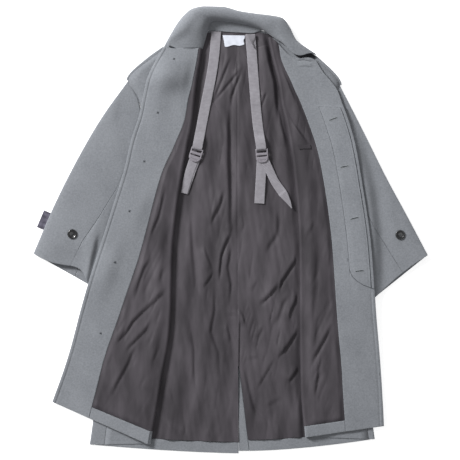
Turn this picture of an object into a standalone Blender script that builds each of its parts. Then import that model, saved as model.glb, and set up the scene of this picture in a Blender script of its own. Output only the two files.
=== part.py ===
"""An oversized wool coat, laid on its back with both fronts folded open to show the inside.

Metres, +Z up, +Y towards the collar. The underside lies on Z = 0, and the origin is on that surface,
below the middle of the coat. Sizes and tables are in millimetres, and "left" and "right" are those of
someone who looks down at the coat. Each piece is a wall of cloth between two grids of points.
"""
import math
from collections import namedtuple

import bmesh
import bpy
import numpy as np
from mathutils import Matrix
from mathutils.bvhtree import BVHTree

MM = 0.001

# Cloth and webbing, thickness in mm
MELTON = 2.2
SATIN = 1.0
WEBBING = 1.6
LABEL = 1.0
SEAM = 0.3

# Heights in mm of the middle of each layer where the coat lies flat
BACK_Z = MELTON / 2
LINING_Z = MELTON + SEAM + SATIN / 2
LINING_TOP = LINING_Z + SATIN / 2
FRONT_Z = LINING_TOP + SEAM + SATIN + SEAM + MELTON / 2
FRONT_TOP = FRONT_Z + MELTON / 2
RIM = (FRONT_Z - BACK_Z) / 2
RIM_OUTER = RIM + MELTON / 2
HEM_TURN_Z = MELTON + SEAM + MELTON / 2

# How far the shell and its skins lie apart, middle to middle
TO_SATIN = MELTON / 2 + SEAM + SATIN / 2
TO_MELTON = MELTON + SEAM

# Cloth that hangs over an edge comes down within this distance, in mm
REACH = 28.0
SETTLE_STEPS = 10
FOLD_SLOPE = 0.2

# The rows of a table run from the neck, 0, to the hem, 10
SHOULDER_POINT = 2.0
UNDERARM = 6.0
RIM_BELOW_ARM = 6.2
FRONT_HEM_TURN = 9.785
BACK_HEM_TURN = 9.85
FLY_TOP = 3.125
FLY_FOOT = 7.63
WELT_TOP = 4.86
WELT_FOOT = 5.0
HEM = 10.0

# Places across a facing, from its inner edge, 0, to the front edge, 1
FLY_STITCH = 0.395
FLY_EDGE = 0.915
FLY_GROOVE = 0.93

# Back, one row for each level. centre_y is on the centre seam; side_x and side_y are on the shoulder,
# armhole or side fold; bow is how late along the row its drop comes; tuck is the back cloth that
# wraps over the edge, up to the seam with the front.
BackRow = namedtuple("BackRow", "name centre_x centre_y side_x side_y bow tuck")
BACK = {
    "left": [
        BackRow("neck", 13, 505, -171, 456, 2.2, 12),
        BackRow("shoulder", 14, 446, -214, 426, 1.8, 12),
        BackRow("shoulder_point", 14, 387, -261, 375, 1.2, 5),
        BackRow("armhole_high", 15, 332, -236, 330, 1.0, 5),
        BackRow("armhole", 15, 275, -226, 288, 1.0, 5),
        BackRow("armhole_low", 16, 200, -231, 205, 1.0, 5),
        BackRow("underarm", 16, 130, -259, 130, 1.0, 5),
        BackRow("waist", 17, -50, -284, -50, 1.0, 24),
        BackRow("hip", 18, -215, -307, -215, 1.0, 30),
        BackRow("thigh", 19, -375, -330, -375, 1.2, 34),
        BackRow("hem", 20, -559, -353, -537, 1.5, 37),
    ],
    "right": [
        BackRow("neck", 13, 505, 164, 467, 2.2, 12),
        BackRow("shoulder", 14, 446, 218, 432, 1.8, 12),
        BackRow("shoulder_point", 14, 387, 278, 363, 1.2, 5),
        BackRow("armhole_high", 15, 332, 256, 315, 1.0, 5),
        BackRow("armhole", 15, 275, 251, 272, 1.0, 5),
        BackRow("armhole_low", 16, 200, 254, 200, 1.0, 5),
        BackRow("underarm", 16, 130, 271, 120, 1.0, 5),
        BackRow("waist", 17, -50, 298, -50, 1.0, 12),
        BackRow("hip", 18, -215, 321, -215, 1.0, 12),
        BackRow("thigh", 19, -375, 341, -375, 1.2, 14),
        BackRow("hem", 20, -553, 361, -523, 1.6, 15),
    ],
}

# Fronts, at the same levels. The cloth comes in from the side seam, turns over at the valley and goes
# back out to the front edge. facing is where the facing begins, as a part of the way from valley to
# edge, and sag is how far the row bows towards the hem.
FrontRow = namedtuple("FrontRow", "name valley_x valley_y edge_x edge_y facing sag")
FRONT = {
    "left": [
        FrontRow("neck", -71, 453, -169, 453, 0.05, 0),
        FrontRow("shoulder", -75, 420, -187, 420, 0.08, 0),
        FrontRow("shoulder_point", -84, 370, -208, 375, 0.12, 0),
        FrontRow("armhole_high", -89, 325, -218, 335, 0.15, 0),
        FrontRow("armhole", -94, 275, -228, 287, 0.20, 0),
        FrontRow("armhole_low", -109, 200, -248, 225, 0.26, 0),
        FrontRow("underarm", -123, 125, -266, 150, 0.32, 0),
        FrontRow("waist", -144, -50, -314, -5, 0.41, 0),
        FrontRow("hip", -150, -230, -366, -170, 0.55, 0),
        FrontRow("thigh", -174, -385, -406, -316, 0.62, 0),
        FrontRow("hem", -199, -536, -446, -430, 0.615, 0),
    ],
    "right": [
        FrontRow("neck", 93, 480, 213, 424, 0.18, 20),
        FrontRow("shoulder", 103, 432, 228, 399, 0.14, 4),
        FrontRow("shoulder_point", 120, 365, 266, 350, 0.20, 0),
        FrontRow("armhole_high", 127, 315, 281, 310, 0.29, 0),
        FrontRow("armhole", 138, 270, 295, 272, 0.32, 0),
        FrontRow("armhole_low", 151, 200, 312, 209, 0.375, 0),
        FrontRow("underarm", 161, 120, 326, 130, 0.406, 0),
        FrontRow("waist", 172, -50, 350, -36, 0.44, 0),
        FrontRow("hip", 173, -225, 363, -207, 0.47, 0),
        FrontRow("thigh", 175, -385, 376, -360, 0.50, 0),
        FrontRow("hem", 185, -518, 383, -490, 0.50, 0),
    ],
}

# Radius in mm of the turn at the valley
VALLEY_RADIUS = {"left": 5.0, "right": 4.0}

# Levels of the panels' grids, and those at which two pieces part at a seam
LEVELS = {
    "left": [0, 0.5, 1, 1.5, 2, 3, 4, 5, 6, 6.2, 6.6, 7, 7.5, 8, 8.5, 9, 9.4, FRONT_HEM_TURN, HEM],
    "right": [0, 0.5, 1, 1.5, 2, 3, FLY_TOP, 4, WELT_TOP, WELT_FOOT, 6, 6.2, 6.6, 7, FLY_FOOT, 8, 8.5, 9, 9.4,
              FRONT_HEM_TURN, HEM],
}
LEVEL_SEAMS = {"left": [FRONT_HEM_TURN], "right": [FLY_TOP, FLY_FOOT, FRONT_HEM_TURN]}

# Places across a front: 0 to 1 from the side seam to the valley, to 2 round the valley, to 3 across
# the lining and to 4 across the facing, and those at which two pieces part at a seam
TURN = 1.0
LINING = 2.0
FACING = 3.0
EDGE = 4.0
PLACES = {
    "left": [0, 0.5, 1, 1.2, 1.4, 1.6, 1.8, 2, 2.25, 2.5, 2.75, 3, 3.33, 3.66, 4],
    "right": [0, 0.5, 1, 1.2, 1.4, 1.6, 1.8, 2, 2.2, 2.5, 2.75, 3, 3.2, FACING + FLY_STITCH, 3.65,
              FACING + FLY_EDGE, FACING + FLY_GROOVE, 4],
}
PLACE_SEAMS = {"left": [FACING], "right": [FACING, FACING + FLY_STITCH]}

# The largest folds of the back lining: three points along each, its height and its half width in mm
Fold = namedtuple("Fold", "name x1 y1 x2 y2 x3 y3 height width")
BACK_FOLDS = [
    Fold("yoke_left", 0, 431, -21, 375, -46, 314, 4, 12),
    Fold("yoke_right", 32, 409, 9, 345, 1, 287, 4, 12),
    Fold("waist_left", -18, 75, -34, 40, -48, 6, 4, 12),
    Fold("centre_seam", -5, 1, -25, -48, -28, -137, 6, 13),
    Fold("flank_left", -66, -35, -54, -70, -43, -101, 3, 12),
    Fold("waist_right", 115, 75, 110, -20, 87, -58, 4, 14),
    Fold("drag_high", 160, -68, 143, -112, 117, -160, 7, 14),
    Fold("drag_mid", 112, -137, 93, -165, 68, -185, 6, 13),
    Fold("drag_side", 160, -155, 152, -195, 146, -231, 6, 12),
    Fold("drag_low", 160, -250, 136, -282, 133, -334, 7, 14),
    Fold("drag_foot", 158, -340, 150, -362, 143, -385, 5, 12),
    Fold("skirt_centre", -39, -200, -44, -262, -26, -377, 5, 16),
    Fold("skirt_left", -106, -200, -92, -295, -90, -422, 4, 18),
    Fold("vent_sweep", 36, -327, 50, -422, 117, -500, 4, 16),
]
FOLD_FADE = 14.0
FOLD_RISE = 30.0

# The vent facing, which parts the right back lining from the centre seam
VENT_TOP = 8.8
VENT_TOP_WIDTH = 3.0
VENT_WIDTH = 27.0

# Sleeves, one row for each ring from the armhole to the cuff. crown is the exponent of the rounded
# top, and follow is how far the ring keeps the curve of the armhole.
SleeveRow = namedtuple("SleeveRow", "name outer_x outer_y inner_x inner_y height crown follow")
SLEEVE = {
    "left": [
        SleeveRow("armhole", -258, 374, -256, 131, FRONT_TOP, 9.0, 1.0),
        SleeveRow("upper", -324, 280, -283, 67, 13, 3.2, 0.3),
        SleeveRow("elbow", -387, 170, -305, -5, 16, 2.5, 0.0),
        SleeveRow("forearm", -441, 62, -331, -75, 17, 2.5, 0.0),
        SleeveRow("cuff", -493, -59, -355, -137, 20, 2.6, 0.0),
    ],
    "right": [
        SleeveRow("armhole", 275, 362, 268, 121, FRONT_TOP, 9.0, 1.0),
        SleeveRow("upper", 331, 250, 292, 45, 13, 3.2, 0.3),
        SleeveRow("elbow", 388, 134, 311, -30, 16, 2.5, 0.0),
        SleeveRow("forearm", 443, 32, 331, -105, 17, 2.5, 0.0),
        SleeveRow("cuff", 493, -63, 351, -177, 20, 2.6, 0.0),
    ],
}
SLEEVE_RINGS = [0, 0.35, 0.8, 1.3, 1.8, 2.3, 2.8, 3.3, 3.7, 4]
SLEEVE_CLEAR = 0.5
FLAT_CROWN = 8.0
CUFF_RECESS = {"left": 26.0, "right": 8.0}
TOP_SEAM = 104.0
UNDER_SEAM = 239.7
TOP_SLEEVE_ANGLES = [-120.3, -90, -59.6, -35, -15, 0, 12, 28, 59.6, 90, TOP_SEAM]
UNDER_SLEEVE_ANGLES = [TOP_SEAM, 120.3, 147, 163, 174, 184, 196, 215, UNDER_SEAM]

# Collar, one row for each section from its left end round the neck to its right end. A section
# rises from the inner edge to the ridge and rounds over to the outer edge. ridge is a part of the
# way across, and sag is how far the section bows towards the hem.
CollarRow = namedtuple("CollarRow", "name inner_x inner_y inner_z ridge ridge_z outer_x outer_y outer_z sag")
COLLAR = [
    CollarRow("left_end", -71, 455, 9, 0.35, 18, -168, 456, 12, 0),
    CollarRow("left_front", -64, 475, 10, 0.60, 28, -153, 481, 9, 0),
    CollarRow("left_side", -58, 497, 11, 0.56, 37, -136, 511, 2, 0),
    CollarRow("left_turn", -54, 512, 12, 0.55, 40, -116, 536, 2, 0),
    CollarRow("left_back", -46, 521, 12, 0.55, 40, -95, 552, 2, 0),
    CollarRow("back_left", -31, 523, 12, 0.55, 38, -64, 558, 2, 0),
    CollarRow("back", -1, 520, 12, 0.55, 36, -21, 557, 2, 0),
    CollarRow("back_right", 36, 514, 12, 0.55, 35, 23, 546, 2, 0),
    CollarRow("right_back", 66, 506, 12, 0.50, 34, 64, 540, 2, 0),
    CollarRow("right_turn", 87, 496, 13, 0.50, 34, 98, 536, 2, 0),
    CollarRow("right_side", 99, 488, 14, 0.45, 32, 128, 530, 2, 0),
    CollarRow("right_front", 108, 481, 14, 0.45, 30, 147, 507, 4, 0),
    CollarRow("right_lap", 114, 477, 14, 0.45, 27, 163, 475, 10, 6),
    CollarRow("right_end", 120, 473, 14, 0.42, 22, 214, 438, 10, 20),
]
COLLAR_SECTIONS = [0, 0.5, 1, 1.5, 2, 2.5, 3, 3.5, 4, 4.5, 5, 6, 7, 8, 9, 10, 10.5, 11, 11.5, 12, 12.35, 12.7, 13]
COLLAR_PLACES = [0, 0.12, 0.3, 0.5, 0.65, 0.78, 0.9, 1]

# Stand inside the neck: its foot along the neck seam, under the collar's sections from first to last
StandRow = namedtuple("StandRow", "section foot_x foot_y")
STAND = [
    StandRow(3, -57, 499),
    StandRow(4, -49, 499),
    StandRow(5, -33, 498),
    StandRow(6, -1, 495),
    StandRow(7, 36, 493),
    StandRow(8, 66, 490),
    StandRow(9, 83, 485),
]
STAND_TOP_Z = 9.6
STAND_TUCK = 3.4

# Straps and tails of webbing, as stations along the middle: place and width in mm
Station = namedtuple("Station", "x y width")
STRAP = {
    "left": [Station(-36, 497, 25), Station(-41, 435, 25), Station(-70, 275, 25), Station(-82, 203, 25)],
    "right": [Station(49, 489, 25), Station(53, 440, 25), Station(66.5, 275, 25), Station(78, 197, 25)],
}
ANCHOR_TAIL = {
    "left": [Station(-87, 181, 25), Station(-98, 140, 24), Station(-110, 89, 20)],
    "right": [Station(78.5, 181, 25), Station(76, 140, 25), Station(72, 66, 25)],
}
FREE_TAIL = {
    "left": [Station(-90, 180, 24), Station(-104, 140, 22), Station(-114, 98, 17)],
    "right": [Station(81, 181, 24), Station(92, 160, 21), Station(110, 122, 20), Station(128, 93, 19),
              Station(149, 62, 9)],
}

# Ladder-lock buckles: middle, turn in degrees, then sizes in mm
BUCKLE_PLACE = {"left": (-87.5, 187.0, -18.0), "right": (78.5, 185.0, 4.0)}
BUCKLE_WIDTH = 31.0
BUCKLE_LENGTH = 36.0
BUCKLE_THICKNESS = 3.0
BUCKLE_LIFT = 2 * (SEAM + WEBBING) + SEAM
BUCKLE_SLOT = (25.0, 4.2)
BUCKLE_SLOT_PLACES = (7.0, -4.0)
BUCKLE_FOOT_TAPER = 0.62

# The first bend of the right strap lies doubled, as a triangle
STRAP_FOLD = [(37.5, 489), (61, 488), (58, 455)]

# Neck label
LABEL_CORNERS = [(-20, 487), (35, 486), (33, 463), (-14, 459)]

# Buttons
CUFF_BUTTON_RADIUS = 12.0
CUFF_BUTTON_PLACE = {"left": (-395.0, -10.0), "right": (423.5, -12.0)}
FRONT_BUTTON_RADIUS = 11.0
FRONT_BUTTON_HEIGHT = 3.4
FRONT_BUTTONS = [(-141, 425), (-181, 293), (-215, 171), (-252, 47), (-287, -80), (-322, -257)]

# Buttonholes of the fly strip: middle in mm and turn in degrees
BUTTONHOLES = [(256, 277, 20), (284, 158, 11), (308, 29, 15), (321, -102, 7)]
BUTTONHOLE_SIZE = (22.0, 1.4)

# Woven tab on the left sleeve: from and to along the sleeve's rows, and how far it stands out
TAB_FROM = 3.17
TAB_TO = 3.52
TAB_OUT = 19.0
TAB_UNDER = 1.8

# Finishes: name, colour, roughness
Finish = namedtuple("Finish", "name colour roughness")
MELTON_WOOL = Finish("melton_wool", (0.235, 0.255, 0.27), 0.95)
SATIN_LINING = Finish("satin_lining", (0.082, 0.075, 0.086), 0.5)
STRAP_WEBBING = Finish("strap_webbing", (0.31, 0.295, 0.32), 0.8)
BLANK_LABEL = Finish("blank_label", (0.82, 0.83, 0.88), 0.7)
HORN_BUTTON = Finish("horn_button", (0.018, 0.02, 0.022), 0.35)
BUCKLE_ACETAL = Finish("buckle_acetal", (0.2, 0.19, 0.21), 0.45)
TAB_SATIN = Finish("tab_satin", (0.1, 0.09, 0.105), 0.6)


# Tables and curves

def column(rows, field, at):
    """Reads one column of a table at row numbers with fractions, on a curve with no overshoot."""
    values = np.array([getattr(row, field) for row in rows], float)
    steps = np.diff(values)
    slopes = np.zeros(len(values))
    same_way = steps[:-1] * steps[1:] > 0
    total = np.where(same_way, steps[:-1] + steps[1:], 1.0)
    slopes[1:-1] = np.where(same_way, 2 * steps[:-1] * steps[1:] / total, 0.0)
    slopes[0] = steps[0]
    slopes[-1] = steps[-1]
    at = np.asarray(at, float)
    low = np.clip(np.floor(at).astype(int), 0, len(values) - 2)
    t = at - low
    start = (1 + 2 * t) * (1 - t) ** 2 * values[low] + t * (1 - t) ** 2 * slopes[low]
    end = t * t * (3 - 2 * t) * values[low + 1] + t * t * (t - 1) * slopes[low + 1]
    return start + end


def point(rows, prefix, at):
    """Reads the x and y columns with a prefix as points."""
    return np.stack([column(rows, prefix + "_x", at), column(rows, prefix + "_y", at)], axis=-1)


def unit(vectors):
    """Scales vectors to length 1."""
    return vectors / np.linalg.norm(vectors, axis=-1, keepdims=True)


def grid_normals(grid):
    """Finds the direction that faces away from a grid at each point, upwards at its middle."""
    across = np.gradient(grid, axis=1)
    along = np.gradient(grid, axis=0)
    normals = unit(np.cross(across, along))
    return normals


def smoothstep(x):
    """Goes softly from 0 to 1 as x does."""
    x = np.clip(x, 0.0, 1.0)
    return x * x * (3 - 2 * x)


# Meshes

def material_of(finish):
    """Makes or finds the material of a finish."""
    found = bpy.data.materials.get(finish.name)
    if found:
        return found
    material = bpy.data.materials.new(finish.name)
    material.use_nodes = True
    shader = material.node_tree.nodes["Principled BSDF"]
    shader.inputs["Base Color"].default_value = (*finish.colour, 1.0)
    shader.inputs["Roughness"].default_value = finish.roughness
    shader.inputs["Metallic"].default_value = 0.0
    return material


def add_object(name, vertices, faces, finish):
    """Puts vertices in mm and their faces into a named object, with its faces pointing out."""
    mesh = bpy.data.meshes.new(name)
    mesh.from_pydata([tuple(v) for v in np.asarray(vertices) * MM], [], faces)
    mesh.validate()
    shape = bmesh.new()
    shape.from_mesh(mesh)
    bmesh.ops.recalc_face_normals(shape, faces=shape.faces)
    if shape.calc_volume(signed=True) < 0:
        bmesh.ops.reverse_faces(shape, faces=shape.faces)
    shape.to_mesh(mesh)
    shape.free()
    mesh.materials.append(material_of(finish))
    mesh.shade_smooth()
    mesh.set_sharp_from_angle(angle=math.radians(40))
    thing = bpy.data.objects.new(name, mesh)
    bpy.context.scene.collection.objects.link(thing)
    return thing


def shell(name, upper, lower, finish, keep=None):
    """Closes the space between two grids of the same shape. keep says which cells have cloth."""
    rows, places = upper.shape[:2]
    if keep is None:
        keep = np.ones((rows - 1, places - 1), bool)
    padded = np.pad(keep, 1)
    count = rows * places
    index = np.arange(count).reshape(rows, places)
    faces = []
    for i, j in np.argwhere(keep):
        a, b = index[i, j], index[i, j + 1]
        c, d = index[i + 1, j + 1], index[i + 1, j]
        faces += [(a, b, c), (a, c, d), (a + count, c + count, b + count), (a + count, d + count, c + count)]
        rims = [(padded[i, j + 1], a, b), (padded[i + 1, j + 2], b, c),
                (padded[i + 2, j + 1], c, d), (padded[i + 1, j], d, a)]
        for has_neighbour, start, end in rims:
            if not has_neighbour:
                faces += [(start, start + count, end + count), (start, end + count, end)]
    used = np.unique(np.array(faces))
    renumber = np.full(2 * count, -1)
    renumber[used] = np.arange(len(used))
    vertices = np.concatenate([upper.reshape(-1, 3), lower.reshape(-1, 3)])[used]
    return add_object(name, vertices, [tuple(int(renumber[v]) for v in face) for face in faces], finish)


def wall(name, middle, normals, thickness, finish, keep=None):
    """Makes a wall of one thickness on both sides of a grid."""
    half = normals * thickness / 2
    return shell(name, middle + half, middle - half, finish, keep)


def plate(name, corners, low, thickness, finish):
    """Makes a flat plate from its corners in mm and its lower face's height."""
    corners = np.asarray(corners, float)
    count = len(corners)
    lower = np.column_stack([corners, np.full(count, low)])
    upper = np.column_stack([corners, np.full(count, low + thickness)])
    faces = [tuple(range(count)), tuple(range(2 * count - 1, count - 1, -1))]
    for i in range(count):
        j = (i + 1) % count
        faces.append((i, i + count, j + count, j))
    return add_object(name, np.concatenate([lower, upper]), faces, finish)


def turned(name, profile, segments, finish, place, axis=(0.0, 0.0, 1.0)):
    """Turns a profile of (radius, height) pairs in mm about an axis through a place in mm."""
    rings = [(radius, height) for radius, height in profile if radius > 0]
    vertices = []
    for radius, height in rings:
        for k in range(segments):
            angle = 2 * math.pi * k / segments
            vertices.append((radius * math.cos(angle), radius * math.sin(angle), height))
    faces = []
    for i in range(len(rings) - 1):
        for k in range(segments):
            n = (k + 1) % segments
            faces.append((i * segments + k, i * segments + n, (i + 1) * segments + n, (i + 1) * segments + k))
    faces.append(tuple(range(segments)))
    last = (len(rings) - 1) * segments
    faces.append(tuple(range(last, last + segments)))
    up = np.asarray(axis, float) / np.linalg.norm(axis)
    side = unit(np.cross((0.0, 1.0, 0.0), up))
    turn = np.stack([side, np.cross(up, side), up])
    return add_object(name, np.array(vertices) @ turn + np.asarray(place), faces, finish)


def cut(target, cutters):
    """Cuts boxes out of an object. Each cutter is its middle, size and turn, in mm and degrees."""
    for number, (middle, size, degrees) in enumerate(cutters):
        mesh = bpy.data.meshes.new(f"{target.name}_cutter_{number}")
        shape = bmesh.new()
        bmesh.ops.create_cube(shape, size=1.0)
        placed = Matrix.Translation([value * MM for value in middle])
        placed = placed @ Matrix.Rotation(math.radians(degrees), 4, "Z")
        placed = placed @ Matrix.Diagonal([value * MM for value in size]).to_4x4()
        bmesh.ops.transform(shape, matrix=placed, verts=shape.verts)
        shape.to_mesh(mesh)
        shape.free()
        cutter = bpy.data.objects.new(mesh.name, mesh)
        cutter.hide_render = True
        cutter.display_type = "WIRE"
        bpy.context.scene.collection.objects.link(cutter)
        modifier = target.modifiers.new(f"cut_{number}", "BOOLEAN")
        modifier.operation = "DIFFERENCE"
        modifier.solver = "EXACT"
        modifier.object = cutter


# Back

def back_line(side, at, part):
    """Finds points on the back at levels and at parts of the way from the centre seam to the side."""
    rows = BACK[side]
    centre = point(rows, "centre", at)
    edge = point(rows, "side", at)
    bow = column(rows, "bow", at)
    x = centre[..., 0] + (edge[..., 0] - centre[..., 0]) * part
    y = centre[..., 1] + (edge[..., 1] - centre[..., 1]) * np.abs(part) ** bow
    return np.stack([x, y], axis=-1)


def rim_line(side, at):
    """Finds where the back turns up into its rim, and the way back in from there."""
    length = np.abs(column(BACK[side], "side_x", at) - column(BACK[side], "centre_x", at))
    part = 1 - RIM_OUTER / length
    turn = back_line(side, at, part)
    inward = np.zeros_like(turn)
    inward[..., 0] = 1.0 if side == "left" else -1.0
    return turn, inward, part


def side_seam(side, at, gap):
    """Finds the seam between back and front, on top of the rim, moved in by a gap."""
    turn, inward, _ = rim_line(side, at)
    tuck = column(BACK[side], "tuck", at) - RIM_OUTER + gap
    return turn + inward * tuck[..., None]


def centre_gap(side):
    """Keeps the two halves of the back apart at the centre seam."""
    return -SEAM / 2 if side == "left" else SEAM / 2


def build_back(side):
    """Makes half of the back: flat on the floor, turned up at the rim, and over as far as the seam."""
    at = np.array([level for level in LEVELS[side] if level not in (FLY_TOP, WELT_TOP)], float)
    turn, inward, part = rim_line(side, at)
    columns = []
    for share in (0, 0.25, 0.5, 0.75, 1):
        spot = back_line(side, at, part * share)
        spot[:, 0] += centre_gap(side) * (share == 0)
        columns.append(np.column_stack([spot, np.full(len(at), BACK_Z)]))
    for degrees in (-45, 0, 45, 90):
        angle = math.radians(degrees)
        spot = turn - inward * RIM * math.cos(angle)
        height = BACK_Z + RIM + RIM * math.sin(angle)
        columns.append(np.column_stack([spot, np.full(len(at), height)]))
    columns.append(np.column_stack([side_seam(side, at, -SEAM / 2), np.full(len(at), FRONT_Z)]))
    middle = np.stack(columns, axis=1)
    keep = np.ones((len(at) - 1, len(columns) - 1), bool)
    in_armhole = (at[:-1] >= SHOULDER_POINT) & (at[:-1] < RIM_BELOW_ARM)
    keep[np.ix_(in_armhole, range(4, 8))] = False
    wall(f"back_{side}", middle, grid_normals(middle), MELTON, MELTON_WOOL, keep)


def valley_x(side, y):
    """Finds the valley of a folded front at heights y."""
    rows = FRONT[side]
    heights = [row.valley_y for row in rows]
    return np.interp(y, heights[::-1], [row.valley_x for row in rows][::-1])


def fold_height(x, y):
    """Adds up how far the back lining's folds rise at places in mm."""
    total = np.zeros_like(x, dtype=float)
    for fold in BACK_FOLDS:
        reach = np.full(total.shape, np.inf)
        ends = [(fold.x1, fold.y1), (fold.x2, fold.y2), (fold.x3, fold.y3)]
        for number in range(2):
            (ax, ay), (bx, by) = ends[number], ends[number + 1]
            length = (bx - ax) ** 2 + (by - ay) ** 2
            t = np.clip(((x - ax) * (bx - ax) + (y - ay) * (by - ay)) / length, 0, 1)
            distance = np.hypot(x - ax - t * (bx - ax), y - ay - t * (by - ay))
            reach = np.minimum(reach, distance)
        total = np.maximum(total, fold.height * np.exp(-(reach / fold.width) ** 2))
    from_left = (x - valley_x("left", y) - FOLD_FADE) / FOLD_RISE
    from_right = (valley_x("right", y) - FOLD_FADE - x) / FOLD_RISE
    return total * smoothstep(from_left) * smoothstep(from_right)


def lining_top(x, y):
    """Finds the top of the back lining."""
    return LINING_TOP + fold_height(np.asarray(x, float), np.asarray(y, float))


def vent_width(at):
    """Finds how wide the vent facing is at levels of the back, 0 above the vent."""
    share = np.clip((at - VENT_TOP) / (HEM - VENT_TOP), 0, 1)
    return np.where(at < VENT_TOP, 0.0, VENT_TOP_WIDTH + (VENT_WIDTH - VENT_TOP_WIDTH) * share)


def build_back_lining(side):
    """Makes half of the back lining, with its largest folds, from the neck to the hem's turn-up."""
    at = np.concatenate([np.linspace(0.1, VENT_TOP - 0.05, 21), np.linspace(VENT_TOP, BACK_HEM_TURN - 0.002, 4)])
    _, _, part = rim_line(side, at)
    shares = np.concatenate([np.linspace(0, 0.62, 10), [0.8, 0.97]])
    start = centre_gap(side) + (vent_width(at) if side == "right" else 0)
    columns = []
    for share in shares:
        spot = back_line(side, at, part * share)
        spot[:, 0] += start * (1 - share)
        columns.append(spot)
    spots = np.stack(columns, axis=1)
    lift = fold_height(spots[..., 0], spots[..., 1])
    middle = np.dstack([spots, LINING_Z + lift])
    wall(f"back_lining_{side}", middle, grid_normals(middle) * normal_sign(side), SATIN, SATIN_LINING)


def normal_sign(side):
    """Turns grid normals upwards: columns run to -X on the left and to +X on the right."""
    return 1.0 if side == "left" else -1.0


def build_back_hem(side):
    """Makes the back's turned-up hem on one side of the vent, level with the lining."""
    at = np.array([BACK_HEM_TURN, HEM])
    _, _, part = rim_line(side, at)
    start = centre_gap(side) + (vent_width(at) + SEAM if side == "right" else 0)
    columns = []
    for share in (0, 0.2, 0.4, 0.6, 0.8, 0.97):
        spot = back_line(side, at, part * share)
        spot[:, 0] += start * (1 - share)
        columns.append(np.column_stack([spot, np.full(2, HEM_TURN_Z)]))
    middle = np.stack(columns, axis=1)
    wall(f"back_hem_{side}", middle, np.broadcast_to((0.0, 0.0, 1.0), middle.shape), MELTON, MELTON_WOOL)


def build_vent_facing():
    """Makes the facing of the vent, a long wedge between the centre seam and the right lining."""
    at = np.array([VENT_TOP + 0.01, 9.0, 9.3, 9.6, BACK_HEM_TURN, HEM])
    inner = back_line("right", at, np.zeros(len(at)))
    left = inner + (SEAM / 2, 0.0)
    right = inner + np.column_stack([vent_width(at) - SEAM, np.zeros(len(at))])
    middle = np.stack([np.column_stack([line, np.full(len(at), HEM_TURN_Z)]) for line in (left, right)], axis=1)
    wall("vent_facing", middle, np.broadcast_to((0.0, 0.0, 1.0), middle.shape), MELTON, MELTON_WOOL)


# Sleeves

def armhole_point(side, share):
    """Finds a point on the armhole, from the shoulder point, 0, to the underarm, 1."""
    at = SHOULDER_POINT + 0.02 + (UNDERARM - SHOULDER_POINT - 0.04) * np.asarray(share, float)
    levels = np.arange(SHOULDER_POINT, UNDERARM + 1)
    turn, _, _ = rim_line(side, levels)
    out = -SLEEVE_CLEAR if side == "left" else SLEEVE_CLEAR
    x = np.interp(at, levels, turn[:, 0]) + out
    return np.stack([x, np.interp(at, levels, turn[:, 1])], axis=-1)


def sleeve_grids(side, at, degrees):
    """Finds the outer and inner grids of a sleeve. Angle 0 is its outer edge, 90 its top, 180 its inner edge."""
    rows = SLEEVE[side]
    at = np.asarray(at, float)[:, None]
    angle = np.radians(np.asarray(degrees, float))[None, :]
    outer = point(rows, "outer", at)
    inner = point(rows, "inner", at)
    height = column(rows, "height", at)
    crown = column(rows, "crown", at)
    follow = column(rows, "follow", at)
    width = np.linalg.norm(inner - outer, axis=-1)
    across = np.abs(np.cos(angle))
    bulge = np.where(np.sin(angle) >= 0, (1 - across ** crown) ** (1 / crown),
                     -(1 - across ** FLAT_CROWN) ** (1 / FLAT_CROWN))
    head = point(rows, "outer", np.zeros(1)), point(rows, "inner", np.zeros(1))
    grids = []
    for wall_in in (0.0, MELTON):
        share = 0.5 - 0.5 * np.cos(angle) * (1 - 2 * wall_in / width)
        lift = height / 2 + (height / 2 - wall_in) * bulge
        spot = outer + (inner - outer) * share[..., None]
        straight = head[0] + (head[1] - head[0]) * share[..., None]
        spot = spot + (armhole_point(side, share) - straight) * follow[..., None]
        back = unit(point(rows, "outer", at - 0.2) - point(rows, "outer", at))
        near_cuff = smoothstep((at - 3.0) / 1.0)
        upper = np.clip(lift / height, 0, 1) ** 2
        recess = CUFF_RECESS[side] * np.sin(math.pi * share ** 1.8) * upper * near_cuff
        grids.append(np.dstack([spot + back * recess[..., None], lift]))
    return grids


def build_sleeve(side):
    """Makes a sleeve as an open flattened tube in two pieces, which meet at two long seams."""
    gap = 0.15
    parts = {
        "top": [TOP_SLEEVE_ANGLES[0] + gap, *TOP_SLEEVE_ANGLES[1:-1], TOP_SLEEVE_ANGLES[-1] - gap],
        "under": [UNDER_SLEEVE_ANGLES[0] + gap, *UNDER_SLEEVE_ANGLES[1:-1], UNDER_SLEEVE_ANGLES[-1] - gap],
    }
    for name, degrees in parts.items():
        outer, inner = sleeve_grids(side, SLEEVE_RINGS, degrees)
        shell(f"sleeve_{name}_{side}", outer, inner, MELTON_WOOL)


def sleeve_height(side, x, y, radius):
    """Finds the highest point of a sleeve within a radius of a place."""
    grid = sleeve_grids(side, np.linspace(0, 4, 41), np.linspace(0, 180, 41))[0].reshape(-1, 3)
    near = np.hypot(grid[:, 0] - x, grid[:, 1] - y) <= radius
    return grid[near, 2].max()


def build_cuff_button(side):
    """Makes a dished button on the sleeve, near the cuff."""
    radius = CUFF_BUTTON_RADIUS
    profile = [(radius * 0.8, 0), (radius, 1.3), (radius, 2.6), (radius * 0.9, 3.6), (radius * 0.72, 3.4),
               (radius * 0.55, 2.2), (radius * 0.2, 2.0)]
    x, y = CUFF_BUTTON_PLACE[side]
    turned(f"cuff_button_{side}", profile, 20, HORN_BUTTON, (x, y, sleeve_height(side, x, y, radius) + SEAM))


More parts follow.
